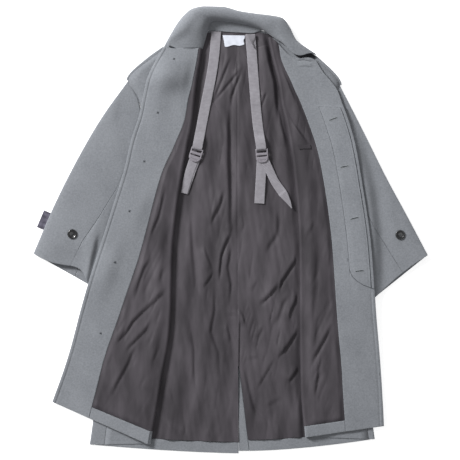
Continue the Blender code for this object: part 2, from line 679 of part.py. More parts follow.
def build_sleeve_tab():
    """Makes the woven tab that stands out from the left sleeve's outer edge, flat on the floor."""
    at = np.array([TAB_FROM, TAB_TO])
    edge = point(SLEEVE["left"], "outer", at)
    along = unit(edge[1] - edge[0])
    out = np.array([along[1], -along[0]])
    if out[0] > 0:
        out = -out
    corners = [edge[0] - out * TAB_UNDER, edge[1] - out * TAB_UNDER, edge[1] + out * TAB_OUT, edge[0] + out * TAB_OUT]
    plate("sleeve_tab_left", corners, SEAM, SATIN * 1.5, TAB_SATIN)


# Fronts

def front_supports(side):
    """Lists points that a folded-back front may rest on: the body under it and the sleeve."""
    at = np.linspace(0, HEM, 101)
    turn, _, _ = rim_line(side, at)
    valley = point(FRONT[side], "valley", at)
    shares = np.linspace(0, 1, 31)
    body = turn[:, None] + (valley - turn)[:, None] * shares[None, :, None]
    body = np.dstack([body, np.full(body.shape[:2], FRONT_TOP)]).reshape(-1, 3)
    sleeve = sleeve_grids(side, np.linspace(0, 4, 61), np.linspace(0, 180, 41))[0].reshape(-1, 3)
    return np.concatenate([body, sleeve])


def settle(spots, supports, start):
    """Lays a sheet's middle over its supports and softens its steps. The first column stays at start."""
    flat = spots.reshape(-1, 2)
    low = np.full(len(flat), MELTON / 2)
    for number, spot in enumerate(flat):
        near = np.hypot(supports[:, 0] - spot[0], supports[:, 1] - spot[1]) < REACH
        if near.any():
            low[number] = supports[near, 2].max() + SEAM + MELTON / 2
    low = low.reshape(spots.shape[:2])
    from_fold = np.linalg.norm(spots - spots[:, :1], axis=-1)
    low = np.maximum(low, start - FOLD_SLOPE * from_fold)
    height = low.copy()
    for _ in range(SETTLE_STEPS):
        padded = np.pad(height, 1, mode="edge")
        mean = (padded[:-2, 1:-1] + padded[2:, 1:-1] + padded[1:-1, :-2] + padded[1:-1, 2:]) / 4
        height = np.maximum(low, mean)
        height[:, 0] = start
    return height


def front_spots(side):
    """Finds a front's grid of points, from the side seam in to the valley and back out to its edge."""
    rows = FRONT[side]
    at = np.array(LEVELS[side], float)
    radius = VALLEY_RADIUS[side]
    valley = point(rows, "valley", at)
    edge = point(rows, "edge", at)
    along = np.gradient(valley, axis=0)
    outward = unit(np.column_stack([along[:, 1], -along[:, 0]]))
    outward *= np.sign(edge[:, :1] - valley[:, :1]) * np.sign(outward[:, :1])
    centre = valley + outward * (radius + TO_SATIN + SATIN / 2)
    seam = side_seam(side, at, SEAM / 2)
    split = column(rows, "facing", at)
    sag = column(rows, "sag", at)
    columns = []
    for place in PLACES[side]:
        if place < TURN:
            spot = seam + (centre - seam) * place
            height = np.full(len(at), FRONT_Z)
        elif place < LINING:
            angle = math.pi * (place - TURN - 0.5)
            spot = centre - outward * radius * math.cos(angle)
            height = np.full(len(at), FRONT_Z + radius + radius * math.sin(angle))
        else:
            part = split * (place - LINING) if place < FACING else split + (1 - split) * (place - FACING)
            spot = centre + (edge - centre) * part[:, None]
            spot[:, 1] -= sag * np.sin(math.pi * np.clip(part / 0.95, 0, 1)) ** 2
            height = np.full(len(at), FRONT_Z + 2 * radius)
        columns.append(np.column_stack([spot, height]))
    return np.stack(columns, axis=1)


def front_surface(side):
    """Finds the middle of a front's cloth, with its folded-back part laid over what is under it."""
    grid = front_spots(side)
    first = PLACES[side].index(LINING)
    supports = front_supports(side)
    start = FRONT_Z + 2 * VALLEY_RADIUS[side]
    if side == "left":
        plain = settle(grid[:, first:, :2], supports, start).reshape(-1)
        spots = grid[:, first:, :2].reshape(-1, 2)
        for x, y in FRONT_BUTTONS:
            near = np.argsort(np.hypot(spots[:, 0] - x, spots[:, 1] - y))[:4]
            under = plain[near].max() - MELTON / 2 + FRONT_BUTTON_HEIGHT
            supports = np.concatenate([supports, [(x, y, under)]])
    grid[:, first:, 2] = settle(grid[:, first:, :2], supports, start)
    return grid


def part_line(values, grid, normals, seam, axis):
    """Doubles one line of a grid and moves its two copies apart by a seam. They keep one normal."""
    number = list(values).index(seam)
    grid = np.moveaxis(grid, axis, 0)
    normals = np.moveaxis(normals, axis, 0)
    here = grid[number]
    before = here + unit(grid[number - 1] - here) * SEAM / 2
    after = here + unit(grid[number + 1] - here) * SEAM / 2
    grid = np.concatenate([grid[:number], before[None], after[None], grid[number + 1:]])
    normals = np.insert(normals, number, normals[number], axis=0)
    values = np.insert(values, number, seam)
    return values, np.moveaxis(grid, 0, axis), np.moveaxis(normals, 0, axis)


def span(values, low, high, with_seams=False):
    """Marks the steps between values from low to high. with_seams adds the seams at both ends."""
    near = 1e-6
    if with_seams:
        first, last = np.searchsorted(values, (low - near, high + near)) - (0, 1)
    else:
        first, last = np.searchsorted(values, (low + near, high - near)) - (1, 0)
    steps = np.arange(len(values) - 1)
    return (steps >= first) & (steps < last)


def build_front(side):
    """Makes one front with the lining, facing and turned-up hem that lie on its folded-back part."""
    levels = np.array(LEVELS[side], float)
    places = np.array(PLACES[side], float)
    middle = front_surface(side)
    normals = grid_normals(middle) * normal_sign(side)
    if normals[0, -1, 2] < 0:
        normals = -normals
    for seam in LEVEL_SEAMS[side]:
        levels, middle, normals = part_line(levels, middle, normals, seam, 0)
    for seam in PLACE_SEAMS[side]:
        places, middle, normals = part_line(places, middle, normals, seam, 1)
    shell_object = wall(f"front_{side}", middle, normals, MELTON, MELTON_WOOL)
    satin = middle + normals * TO_SATIN
    melton = middle + normals * TO_MELTON
    keep = np.outer(span(levels, 0, FRONT_HEM_TURN), span(places, 0, FACING))
    wall(f"front_lining_{side}", satin, normals, SATIN, SATIN_LINING, keep)
    keep = np.outer(span(levels, FRONT_HEM_TURN, HEM), span(places, LINING, FACING))
    wall(f"front_hem_{side}", melton, normals, MELTON, MELTON_WOOL, keep)
    keep = np.outer(span(levels, 0, HEM), span(places, FACING, EDGE))
    if side == "right":
        stitch = FACING + FLY_STITCH
        keep &= ~np.outer(span(levels, FLY_TOP, FLY_FOOT, True), span(places, stitch, FACING + FLY_GROOVE, True))
        fly = np.outer(span(levels, FLY_TOP, FLY_FOOT), span(places, stitch, FACING + FLY_EDGE))
        strip = wall("fly_strip_right", melton, normals, MELTON, MELTON_WOOL, fly)
        size = (*BUTTONHOLE_SIZE, 40.0)
        cut(strip, [((x, y, 15.0), size, turn) for x, y, turn in BUTTONHOLES])
        welt = np.outer(span(levels, WELT_TOP, WELT_FOOT), span(places, LINING + 0.2, LINING + 0.75))
        raised = satin + normals * (SATIN + SEAM)
        wall("pocket_welt_right", raised, normals, SATIN, SATIN_LINING, welt)
    wall(f"facing_{side}", melton, normals, MELTON, MELTON_WOOL, keep)
    if side == "left":
        build_front_buttons(shell_object)


def build_front_buttons(front):
    """Makes the front buttons, which hang face down under the left front, each parallel to it."""
    radius = FRONT_BUTTON_RADIUS
    profile = [(radius * 0.85, 0), (radius, 0.9), (radius, FRONT_BUTTON_HEIGHT - 0.9),
               (radius * 0.85, FRONT_BUTTON_HEIGHT)]
    tree = BVHTree.FromPolygons([v.co for v in front.data.vertices], [p.vertices for p in front.data.polygons])
    angles = np.linspace(0, 2 * math.pi, 12, endpoint=False)
    rim = np.column_stack([radius * np.cos(angles), radius * np.sin(angles)])
    for number, (x, y) in enumerate(FRONT_BUTTONS):
        under = []
        for u, v in rim:
            hit, normal, _, _ = tree.ray_cast(((x + u) * MM, (y + v) * MM, 1.0), (0, 0, -1))
            under.append(hit.z / MM - MELTON / normal.z)
        slope_x, slope_y, level = np.linalg.lstsq(np.column_stack([rim, np.ones(12)]), np.array(under), rcond=None)[0]
        dip = (rim @ (slope_x, slope_y) + level - under).max()
        up = unit(np.array([-slope_x, -slope_y, 1.0]))
        place = np.array([x, y, level - dip]) - up * (FRONT_BUTTON_HEIGHT + SEAM)
        turned(f"front_button_{number + 1}", profile, 12, HORN_BUTTON, place, up)


# Collar

def collar_surface():
    """Finds the middle of the upper collar: two quarter ellipses across, which meet at the ridge."""
    at = np.array(COLLAR_SECTIONS, float)
    place = np.array(COLLAR_PLACES, float)[None, :]
    inner = point(COLLAR, "inner", at)[:, None]
    outer = point(COLLAR, "outer", at)[:, None]
    ridge = column(COLLAR, "ridge", at)[:, None]
    low_in, top, low_out, sag = (column(COLLAR, name, at)[:, None] for name in ("inner_z", "ridge_z", "outer_z", "sag"))
    rising = place <= 0.5
    angle = np.where(rising, place, place - 0.5) * math.pi
    part = np.where(rising, ridge * (1 - np.cos(angle)), ridge + (1 - ridge) * np.sin(angle))
    height = np.where(rising, low_in + (top - low_in) * np.sin(angle), low_out + (top - low_out) * np.cos(angle))
    spots = inner + (outer - inner) * part[..., None]
    spots[..., 1] -= sag * np.sin(math.pi * np.clip(part / 0.95, 0, 1)) ** 2
    return np.dstack([spots, height])


def build_collar():
    """Makes the upper collar and, inside its arch, the under collar."""
    middle = collar_surface()
    normals = -grid_normals(middle)
    if normals[6, 3, 2] < 0:
        normals = -normals
    for name, offset, sections in (("collar_upper", 0.0, None), ("collar_under", -TO_MELTON, -2)):
        centre = (middle + normals * offset)[:sections]
        half = normals[:sections] * MELTON / 2
        upper = centre + half
        lower = centre - half
        for grid in (upper, lower):
            grid[..., 2] = np.maximum(grid[..., 2], 0.0)
        shell(name, upper, lower, MELTON_WOOL)


def build_stand():
    """Makes the stand, the band inside the neck that goes up under the collar's inner edge."""
    at = np.array([row.section for row in STAND], float)
    foot = np.array([(row.foot_x, row.foot_y) for row in STAND], float)
    inner = point(COLLAR, "inner", at)
    outer = point(COLLAR, "outer", at)
    head = inner + unit(outer - inner) * STAND_TUCK
    low = LINING_TOP + SEAM + MELTON / 2 + 0.4
    columns = []
    for share in (0, 0.5, 1):
        spot = foot + (head - foot) * share
        height = low + (STAND_TOP_Z - low) * share ** 1.5
        columns.append(np.column_stack([spot, np.full(len(at), height)]))
    middle = np.stack(columns, axis=1)
    wall("collar_stand", middle, grid_normals(middle), MELTON, MELTON_WOOL)


# Straps, buckles and label

def ribbon(name, stations, lift, raised=None):
    """Makes a flat band on the lining along its stations. raised lifts its last stations by an amount."""
    xy = np.array([(station.x, station.y) for station in stations], float)
    width = np.array([station.width for station in stations], float)
    run = np.concatenate([[0], np.cumsum(np.linalg.norm(np.diff(xy, axis=0), axis=1))])
    count = max(3, int(run[-1] / 24) + 1)
    places = np.linspace(0, run[-1], count)
    middle = np.column_stack([np.interp(places, run, xy[:, 0]), np.interp(places, run, xy[:, 1])])
    half = np.interp(places, run, width) / 2
    along = unit(np.gradient(middle, axis=0))
    across = np.column_stack([along[:, 1], -along[:, 0]])
    around = np.linspace(0, 2 * math.pi, 16, endpoint=False)
    height = lining_top(middle[:, 0], middle[:, 1])
    for radius in (8.0, 16.0, 24.0):
        ring_x = middle[:, :1] + radius * np.cos(around)
        ring_y = middle[:, 1:] + radius * np.sin(around)
        height = np.maximum(height, lining_top(ring_x, ring_y).max(axis=1))
    height = height + lift + WEBBING / 2
    if raised:
        height = height + raised * smoothstep((places - run[-1] + 46) / 24)
    grid = np.stack([np.column_stack([middle - across * half[:, None], height]),
                     np.column_stack([middle + across * half[:, None], height])], axis=1)
    return wall(name, grid, grid_normals(grid), WEBBING, STRAP_WEBBING)


def build_buckle(side):
    """Makes a ladder-lock buckle: a plate with a narrower round foot and two slots for the webbing."""
    x, y, degrees = BUCKLE_PLACE[side]
    half_width = BUCKLE_WIDTH / 2
    half_length = BUCKLE_LENGTH / 2
    shoulder = -half_length * 0.35
    outline = [(-half_width + 2, half_length), (-half_width, half_length - 2), (-half_width, shoulder)]
    for step in range(7):
        angle = math.pi * (1 + step / 6)
        foot = half_width * BUCKLE_FOOT_TAPER
        outline.append((foot * math.cos(angle), shoulder - 3 + (half_length + shoulder - 3) * math.sin(angle)))
    outline += [(half_width, shoulder), (half_width, half_length - 2), (half_width - 2, half_length)]
    turn = math.radians(degrees)
    cos, sin = math.cos(turn), math.sin(turn)
    corners = [(x + u * cos - v * sin, y + u * sin + v * cos) for u, v in outline]
    around = np.array(corners)
    low = lining_top(around[:, 0], around[:, 1]).max() + BUCKLE_LIFT
    body = plate(f"strap_buckle_{side}", corners, low, BUCKLE_THICKNESS, BUCKLE_ACETAL)
    cutters = []
    for place in BUCKLE_SLOT_PLACES:
        middle = (x - place * sin, y + place * cos, low + BUCKLE_THICKNESS / 2)
        cutters.append((middle, (*BUCKLE_SLOT, 3 * BUCKLE_THICKNESS), degrees))
    cut(body, cutters)


def build_straps():
    """Makes the two carrying straps with their buckles and tails."""
    over_buckle = BUCKLE_LIFT + BUCKLE_THICKNESS
    for side in ("left", "right"):
        ribbon(f"strap_{side}", STRAP[side], SEAM, raised=over_buckle)
        ribbon(f"anchor_tail_{side}", ANCHOR_TAIL[side], SEAM)
        ribbon(f"free_tail_{side}", FREE_TAIL[side], 2 * SEAM + WEBBING)
        build_buckle(side)
    corners = np.array(STRAP_FOLD, float)
    low = lining_top(corners[:, 0], corners[:, 1]).max() + 2 * SEAM + WEBBING + 0.3
    plate("strap_fold_right", STRAP_FOLD, low, WEBBING, STRAP_WEBBING)


def build_label():
    """Makes the blank neck label."""
    corners = np.array(LABEL_CORNERS, float)
    low = lining_top(corners[:, 0], corners[:, 1]).max() + SEAM + 0.8
    plate("neck_label", LABEL_CORNERS, low, LABEL, BLANK_LABEL)


def clear_scene():
    """Removes the objects of the scene."""
    for thing in list(bpy.data.objects):
        bpy.data.objects.remove(thing, do_unlink=True)


def main():
    """Builds the coat."""
    clear_scene()
    for side in ("left", "right"):
        build_back(side)
        build_back_lining(side)
        build_back_hem(side)
        build_sleeve(side)
        build_cuff_button(side)
        build_front(side)
    build_vent_facing()
    build_sleeve_tab()
    build_collar()
    build_stand()
    build_straps()
    build_label()


main()
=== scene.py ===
"""Dressed model of an oversized wool coat, laid on its back with both fronts folded open.

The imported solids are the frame. Each piece of cloth is laid again here as a fine surface worked out with
numpy, in the same frame: tables of sizes in millimetres, +Y to the collar, +Z up, floor at Z = 0.
"""

import logging
import math
from dataclasses import dataclass, field
from enum import Enum
from typing import NamedTuple, Sequence

import bpy
import numpy as np
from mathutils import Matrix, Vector


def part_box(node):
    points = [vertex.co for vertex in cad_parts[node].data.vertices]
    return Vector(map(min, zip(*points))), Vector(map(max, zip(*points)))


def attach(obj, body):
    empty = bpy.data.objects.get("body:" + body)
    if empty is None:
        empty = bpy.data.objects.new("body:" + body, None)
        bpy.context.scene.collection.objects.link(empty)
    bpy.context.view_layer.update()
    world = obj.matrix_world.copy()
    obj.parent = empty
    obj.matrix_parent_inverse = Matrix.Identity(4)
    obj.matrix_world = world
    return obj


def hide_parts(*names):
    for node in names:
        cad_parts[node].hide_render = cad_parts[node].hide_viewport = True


LOG = logging.getLogger("coat")
MM = 0.001

# Layers of cloth and their gaps in mm, as in the solids
MELTON = 2.2
SATIN = 1.0
WEBBING = 1.6
LABEL = 0.9
TAB = SATIN * 1.3
SEAM = 0.3
BACK_Z = MELTON / 2
LINING_Z = MELTON + SEAM + SATIN / 2
FRONT_Z = 6.2
FRONT_TOP = FRONT_Z + MELTON / 2
RIM = (FRONT_Z - BACK_Z) / 2
RIM_OUTER = RIM + MELTON / 2
TO_SATIN = MELTON / 2 + SEAM + SATIN / 2
TO_MELTON = MELTON + SEAM
HEM_TURN_Z = MELTON + SEAM + MELTON / 2

# The photo's scale and middle, for details that are placed by its pixels
MM_PER_PIXEL = 2.5
PHOTO_MIDDLE = (230.6, 230.0)

# How a crease ends, falls and sinks: share of its length that fades, sharpness of the drop, depth of the trough
CREASE_FADE = 0.3
CREASE_DROP = 0.45
CREASE_TROUGH = 0.45

Form = tuple[np.ndarray, np.ndarray]  # Vertices in mm, and faces of four corners each


class Side(Enum):
    """The side of the coat, as seen by someone who looks down at it."""

    LEFT = "left"
    RIGHT = "right"

    @property
    def sign(self) -> float:
        """The direction of the side along X."""
        return -1.0 if self is Side.LEFT else 1.0


def from_photo(points: Sequence[tuple[float, float]]) -> np.ndarray:
    """Turns columns and rows of the photo into places in mm: pixels from its middle, times the scale."""
    pixels = np.asarray(points, float)
    return (pixels - PHOTO_MIDDLE) * (MM_PER_PIXEL, -MM_PER_PIXEL)


def curve_through(knots: Sequence[float], values: np.ndarray, at: np.ndarray) -> np.ndarray:
    """Cubic pieces through values at knots, with harmonic mean slopes, so that nothing overshoots.

    Args:
        knots: Rising positions of the values.
        values: Values, with the knots along axis 0.
        at: Positions to read.

    Returns:
        The curve's values, with the positions along axis 0.
    """
    knots = np.asarray(knots, float)
    values = np.asarray(values, float)
    shape = (-1,) + (1,) * (values.ndim - 1)
    steps = np.diff(knots).reshape(shape)
    rates = np.diff(values, axis=0) / steps
    slopes = np.zeros_like(values)
    before, after = rates[:-1], rates[1:]
    same_way = before * after > 0
    slopes[1:-1] = np.where(same_way, 2 * before * after / np.where(same_way, before + after, 1.0), 0.0)
    slopes[0], slopes[-1] = rates[0], rates[-1]
    at = np.asarray(at, float)
    low = np.clip(np.searchsorted(knots, at.ravel(), side="right") - 1, 0, len(knots) - 2)
    t = (at.ravel() - knots[low]).reshape(shape) / steps[low]
    rise = steps[low]
    result = (
        (1 + 2 * t) * (1 - t) ** 2 * values[low]
        + t * (1 - t) ** 2 * rise * slopes[low]
        + t * t * (3 - 2 * t) * values[low + 1]
        + t * t * (t - 1) * rise * slopes[low + 1]
    )
    return result.reshape(at.shape + values.shape[1:])


def column(rows: Sequence[NamedTuple], name: str, at: np.ndarray) -> np.ndarray:
    """Reads one named column of a table at row numbers with fractions."""
    return curve_through(range(len(rows)), np.array([getattr(row, name) for row in rows]), at)


def spot(rows: Sequence[NamedTuple], prefix: str, at: np.ndarray) -> np.ndarray:
    """Reads the x and y columns that share a prefix, with x and y last."""
    return np.stack([column(rows, f"{prefix}_x", at), column(rows, f"{prefix}_y", at)], axis=-1)


def unit(vectors: np.ndarray) -> np.ndarray:
    """Scales vectors to length 1."""
    return vectors / np.maximum(np.linalg.norm(vectors, axis=-1, keepdims=True), 1e-12)


def soft_step(x: np.ndarray) -> np.ndarray:
    """Goes from 0 to 1 with x as three x squared less two x cubed."""
    x = np.clip(x, 0.0, 1.0)
    return x * x * (3 - 2 * x)


def bell(x: np.ndarray, y: np.ndarray | float = 0.0) -> np.ndarray:
    """Falls from 1 in the middle as e to the minus x squared less y squared."""
    return np.exp(-(x * x) - y * y)


def raised(places: np.ndarray, height: np.ndarray | float) -> np.ndarray:
    """Puts heights behind flat places."""
    return np.dstack([places, np.broadcast_to(height, places.shape[:2])])


def turned(points: np.ndarray, degrees: float, place: Sequence[float]) -> np.ndarray:
    """Turns flat points about the origin and moves them to a place."""
    cos, sin = math.cos(math.radians(degrees)), math.sin(math.radians(degrees))
    return points @ np.array([[cos, sin], [-sin, cos]]) + place


def normals_of(grid: np.ndarray) -> np.ndarray:
    """Unit cross products of a grid's two directions, turned so that the last column's point up."""
    normals = unit(np.cross(np.gradient(grid, axis=1), np.gradient(grid, axis=0)))
    return normals * (1.0 if normals[:, -1, 2].mean() > 0 else -1.0)


def run_along(grid: np.ndarray, axis: int) -> np.ndarray:
    """Sums up the lengths of a grid's steps along one axis, from 0 at its start."""
    steps = np.linalg.norm(np.diff(grid, axis=axis), axis=-1)
    pad = [(0, 0), (0, 0)]
    pad[axis] = (1, 0)
    return np.cumsum(np.pad(steps, pad), axis=axis)


def packed(start: float, end: float, count: int, near: Sequence[float] = (), width: float = 0.0) -> np.ndarray:
    """Spreads positions evenly and adds close ones round some places, such as edges and grooves.

    Args:
        start: First position.
        end: Last position.
        count: How many even positions.
        near: Places that get more positions.
        width: How far from each place these reach.

    Returns:
        Rising positions.
    """
    positions = [np.linspace(start, end, count)]
    for place in near:
        positions.append(place + width * np.array([-1, -0.6, -0.35, -0.15, 0, 0.15, 0.35, 0.6, 1]))
    joined = np.unique(np.round(np.concatenate(positions), 6))
    joined = joined[(joined >= start) & (joined <= end)]
    tight = np.concatenate([[True], np.diff(joined) > (end - start) * 1e-5])
    return joined[tight]


def waves(x: np.ndarray, y: np.ndarray, seed: int, across: float, along: float, count: int = 7) -> np.ndarray:
    """Adds sine waves of uneven length and direction, the way loose cloth swells and dips.

    Args:
        x: Places across, in mm.
        y: Places along, in mm.
        seed: Sets the waves' lengths and starts.
        across: Typical length of a wave across, in mm.
        along: Typical length of a wave along, in mm.
        count: Number of waves.

    Returns:
        Heights from about -1 to 1.
    """
    dice = np.random.default_rng(seed)
    total = np.zeros_like(np.asarray(x, float) + y)
    for _ in range(count):
        long_x = across * dice.uniform(0.6, 1.7)
        long_y = along * dice.uniform(0.6, 1.7)
        turn = dice.uniform(-0.35, 0.35)
        start = dice.uniform(0, 2 * math.pi)
        total += np.sin(2 * math.pi * ((x + turn * y * across / along) / long_x + y / long_y) + start)
    return total / count * 1.6


def stray_creases(x: np.ndarray, y: np.ndarray, seed: int, across: float, along: float) -> np.ndarray:
    """Sinks narrow troughs along the zero lines of one wave field, where a second field lets them show.

    Args:
        x: Places across, in mm.
        y: Places along, in mm.
        seed: Sets both fields.
        across: Typical distance between troughs, in mm.
        along: Typical length of a trough, in mm.

    Returns:
        Depths from 0 to -1.
    """
    lines = waves(x, y, seed, across, along)
    shown = soft_step((waves(x, y, seed + 1, across * 2.5, along * 0.6) - 0.05) / 0.5)
    return -shown * np.exp(-np.abs(lines) / 0.17)


class Crease(NamedTuple):
    """A fold of loose cloth, placed by the photo's pixels; height, spread and sharp are in mm.

    The ridge lies on the right hand of someone who goes along the line, or on the left hand where ridge is -1.
    """

    name: str
    line: tuple[tuple[float, float], ...]
    height: float
    spread: float = 10.0
    sharp: float = 3.2
    ridge: float = 1.0


def crease_relief(creases: Sequence[Crease], x: np.ndarray, y: np.ndarray) -> np.ndarray:
    """Adds up creases: a broad rise to each line, a steep drop at it and a trough at its foot, fading at both ends.

    The rise is the height times e to the minus (distance over spread) to the power of 1.4.

    Args:
        creases: The folds, placed by the photo.
        x: Places across, in mm.
        y: Places along, in mm.

    Returns:
        Heights in mm.
    """
    total = np.zeros_like(x)
    for crease in creases:
        line = from_photo(crease.line)
        lengths = np.linalg.norm(np.diff(line, axis=0), axis=1)
        best = np.full(x.shape, np.inf)
        side = np.zeros_like(x)
        place = np.zeros_like(x)
        for number, length in enumerate(lengths):
            way = (line[number + 1] - line[number]) / length
            from_start = np.stack([x, y], axis=-1) - line[number]
            t = np.clip(from_start @ way, 0, length)
            away = from_start - t[..., None] * way
            distance = np.hypot(away[..., 0], away[..., 1])
            closer = distance < best
            best = np.where(closer, distance, best)
            side = np.where(closer, np.sign(way[0] * from_start[..., 1] - way[1] * from_start[..., 0]), side)
            place = np.where(closer, lengths[:number].sum() + t, place)
        share = place / lengths.sum()
        fade = soft_step(share / CREASE_FADE) * soft_step((1 - share) / CREASE_FADE)
        signed = -best * side * crease.ridge
        rise = np.exp(-((np.maximum(signed, 0.0) / (crease.spread * 2.0)) ** 1.4))
        drop = 1 / (1 + np.exp(np.clip((crease.sharp - signed) / (crease.sharp * CREASE_DROP), -40, 40)))
        trough = bell((signed + crease.sharp * 0.3) / (crease.sharp * 1.3))
        total += fade * crease.height * (rise * drop - CREASE_TROUGH * trough)
    return total


# Meshes


def turned_out(points: np.ndarray, cells: np.ndarray) -> np.ndarray:
    """Turns faces right side out, by the sign of the volume that they close."""
    corners = points[cells] - points.mean(axis=0)
    volume = np.einsum("ij,ij->i", corners[:, 0], np.cross(corners[:, 1], corners[:, 2])).sum()
    volume += np.einsum("ij,ij->i", corners[:, 0], np.cross(corners[:, 2], corners[:, 3])).sum()
    return cells if volume > 0 else cells[:, ::-1]


def mesh_object(name: str, vertices: np.ndarray, faces: np.ndarray, uv: np.ndarray | None = None) -> bpy.types.Object:
    """Puts arrays into a mesh object at the origin, turned right side out.

    Args:
        name: Name of the object.
        vertices: Corners in mm.
        faces: Vertex numbers, four for each face.
        uv: One texture place in metres for each vertex.

    Returns:
        The object, shaded smooth.
    """
    faces = turned_out(vertices, faces)
    mesh = bpy.data.meshes.new(name)
    mesh.from_pydata((vertices * MM).tolist(), [], faces.tolist())
    if uv is not None:
        layer = mesh.uv_layers.new(name="cloth")
        layer.data.foreach_set("uv", uv[faces.ravel()].astype(np.float32).ravel())
    mesh.shade_smooth()
    thing = bpy.data.objects.new(name, mesh)
    bpy.context.scene.collection.objects.link(thing)
    return thing


def close_shell(
    name: str, upper: np.ndarray, lower: np.ndarray, keep: np.ndarray | None = None
) -> bpy.types.Object:
    """Closes the space between two grids: their cells, and a strip of cells round the edge of what is kept.

    Args:
        name: Name of the object.
        upper: Points of one face in mm, rows by columns by 3.
        lower: Points of the other face.
        keep: Says which cells have cloth.

    Returns:
        The closed object, with lengths across and along as its texture places.
    """
    rows, columns = upper.shape[:2]
    if keep is None:
        keep = np.ones((rows - 1, columns - 1), bool)
    index = np.arange(rows * columns).reshape(rows, columns)
    a, b, c, d = index[:-1, :-1], index[:-1, 1:], index[1:, 1:], index[1:, :-1]
    below = rows * columns
    top = np.stack([a, b, c, d], axis=-1)[keep]
    faces = [top, top[:, ::-1] + below]
    padded = np.pad(keep, 1)
    beside = padded[:-2, 1:-1], padded[1:-1, 2:], padded[2:, 1:-1], padded[1:-1, :-2]
    for neighbour, start, end in zip(beside, (a, b, c, d), (b, c, d, a)):
        open_edge = keep & ~neighbour
        first, second = start[open_edge], end[open_edge]
        faces.append(np.stack([first, first + below, second + below, second], axis=-1))
    faces = np.concatenate(faces)
    vertices = np.concatenate([upper.reshape(-1, 3), lower.reshape(-1, 3)])
    uv = np.stack([run_along(upper, 1), run_along(upper, 0)], axis=-1).reshape(-1, 2) * MM
    uv = np.concatenate([uv, uv])
    used, renumbered = np.unique(faces, return_inverse=True)
    return mesh_object(name, vertices[used], renumbered.reshape(-1, 4), uv[used])


def rounded_edge(grid: np.ndarray, radius: float, sides: tuple[bool, bool, bool, bool]) -> np.ndarray:
    """Thins a sheet towards its edges as a quarter circle does: root of one less the square of one less distance.

    Args:
        grid: Middle of the sheet.
        radius: How far in from an edge the thinning starts, in mm.
        sides: Whether the first row, last row, first column and last column are edges.

    Returns:
        A factor for the thickness at each point, from 0.35 to 1.
    """
    along, across = run_along(grid, 0), run_along(grid, 1)
    distances = [along, along[-1:] - along, across, across[:, -1:] - across]
    nearest = np.full(grid.shape[:2], radius)
    for is_edge, distance in zip(sides, distances):
        if is_edge:
            nearest = np.minimum(nearest, distance)
    return np.maximum(0.35, np.sqrt(1 - (1 - nearest / radius) ** 2))


def lay_sheet(
    name: str,
    middle: np.ndarray,
    thickness: float,
    normals: np.ndarray | None = None,
    edges: tuple[bool, bool, bool, bool] = (True, True, True, True),
    keep: np.ndarray | None = None,
) -> bpy.types.Object:
    """Makes a sheet with soft edges: its middle moved out both ways along its normals by half its thickness.

    Args:
        name: Name of the object.
        middle: Middle of the cloth in mm.
        thickness: In mm.
        normals: Directions to move out in. They are worked out if none are given.
        edges: Which sides are rounded, as in rounded_edge.
        keep: Says which cells have cloth.

    Returns:
        The sheet.
    """
    if normals is None:
        normals = normals_of(middle)
    half = normals * (rounded_edge(middle, thickness * 0.7, edges) * thickness / 2)[..., None]
    return close_shell(name, middle + half, middle - half, keep)


def cap_ring(ring: np.ndarray) -> np.ndarray:
    """Closes a small ring of an even number of points with cells between its two halves."""
    k = np.arange(len(ring) // 2 - 1)
    return np.stack([ring[k], ring[len(ring) - 1 - k], ring[len(ring) - 2 - k], ring[k + 1]], axis=-1)


def stack_rings(rings: np.ndarray) -> Form:
    """Joins rings of points one to the next, and closes the first and the last."""
    index = np.arange(rings.shape[0] * rings.shape[1]).reshape(rings.shape[:2])
    beside = np.roll(index, -1, axis=1)
    faces = np.stack([index[:-1], beside[:-1], beside[1:], index[1:]], axis=-1).reshape(-1, 4)
    return rings.reshape(-1, 3), np.concatenate([faces, cap_ring(index[0]), cap_ring(index[-1][::-1])])


def bar_along(path: np.ndarray, width: float, height: float, power: float, segments: int = 16) -> Form:
    """Carries a superellipse along a path that stays near level, and closes it over small end rings.

    Args:
        path: Points in mm.
        width: Full width.
        height: Full height.
        power: Exponent of the superellipse, 2 for an ellipse and more for a boxier bar.
        segments: Points round the bar.

    Returns:
        The form.
    """
    path = np.asarray(path, float)
    way = np.pad(unit(np.gradient(path, axis=0)), ((2, 2), (0, 0)), mode="edge")
    tip = min(width, height) * 0.12 * way
    ends = np.pad(path, ((2, 2), (0, 0)), mode="edge")
    ends[:2] -= tip[:2]
    ends[-2:] += tip[-2:]
    scale = np.ones(len(ends))
    scale[[0, 1, -2, -1]] = (0.1, 0.8, 0.8, 0.1)
    side = unit(np.cross(way, (0.0, 0.0, 1.0)))
    up = np.cross(side, way)
    angle = np.linspace(0, 2 * math.pi, segments, endpoint=False)
    cos, sin = np.cos(angle), np.sin(angle)
    u = scale[:, None] * np.sign(cos) * np.abs(cos) ** (2 / power) * width / 2
    v = scale[:, None] * np.sign(sin) * np.abs(sin) ** (2 / power) * height / 2
    return stack_rings(ends[:, None] + side[:, None] * u[..., None] + up[:, None] * v[..., None])


def turned_form(profile: Sequence[tuple], place: tuple[float, float, float], segments: int = 48) -> Form:
    """Turns a profile about an upright axis.

    Args:
        profile: Radii and heights in mm, from the foot to the middle of the top.
        place: Foot of the axis in mm.
        segments: Points in each ring.

    Returns:
        The form.
    """
    shape = np.array(profile, float)
    angle = np.linspace(0, 2 * math.pi, segments, endpoint=False)
    circle = np.column_stack([np.cos(angle), np.sin(angle), np.zeros(segments)])
    return stack_rings(np.array(place) + circle * shape[:, :1, None] + shape[:, 1:, None] * np.array([0.0, 0.0, 1.0]))


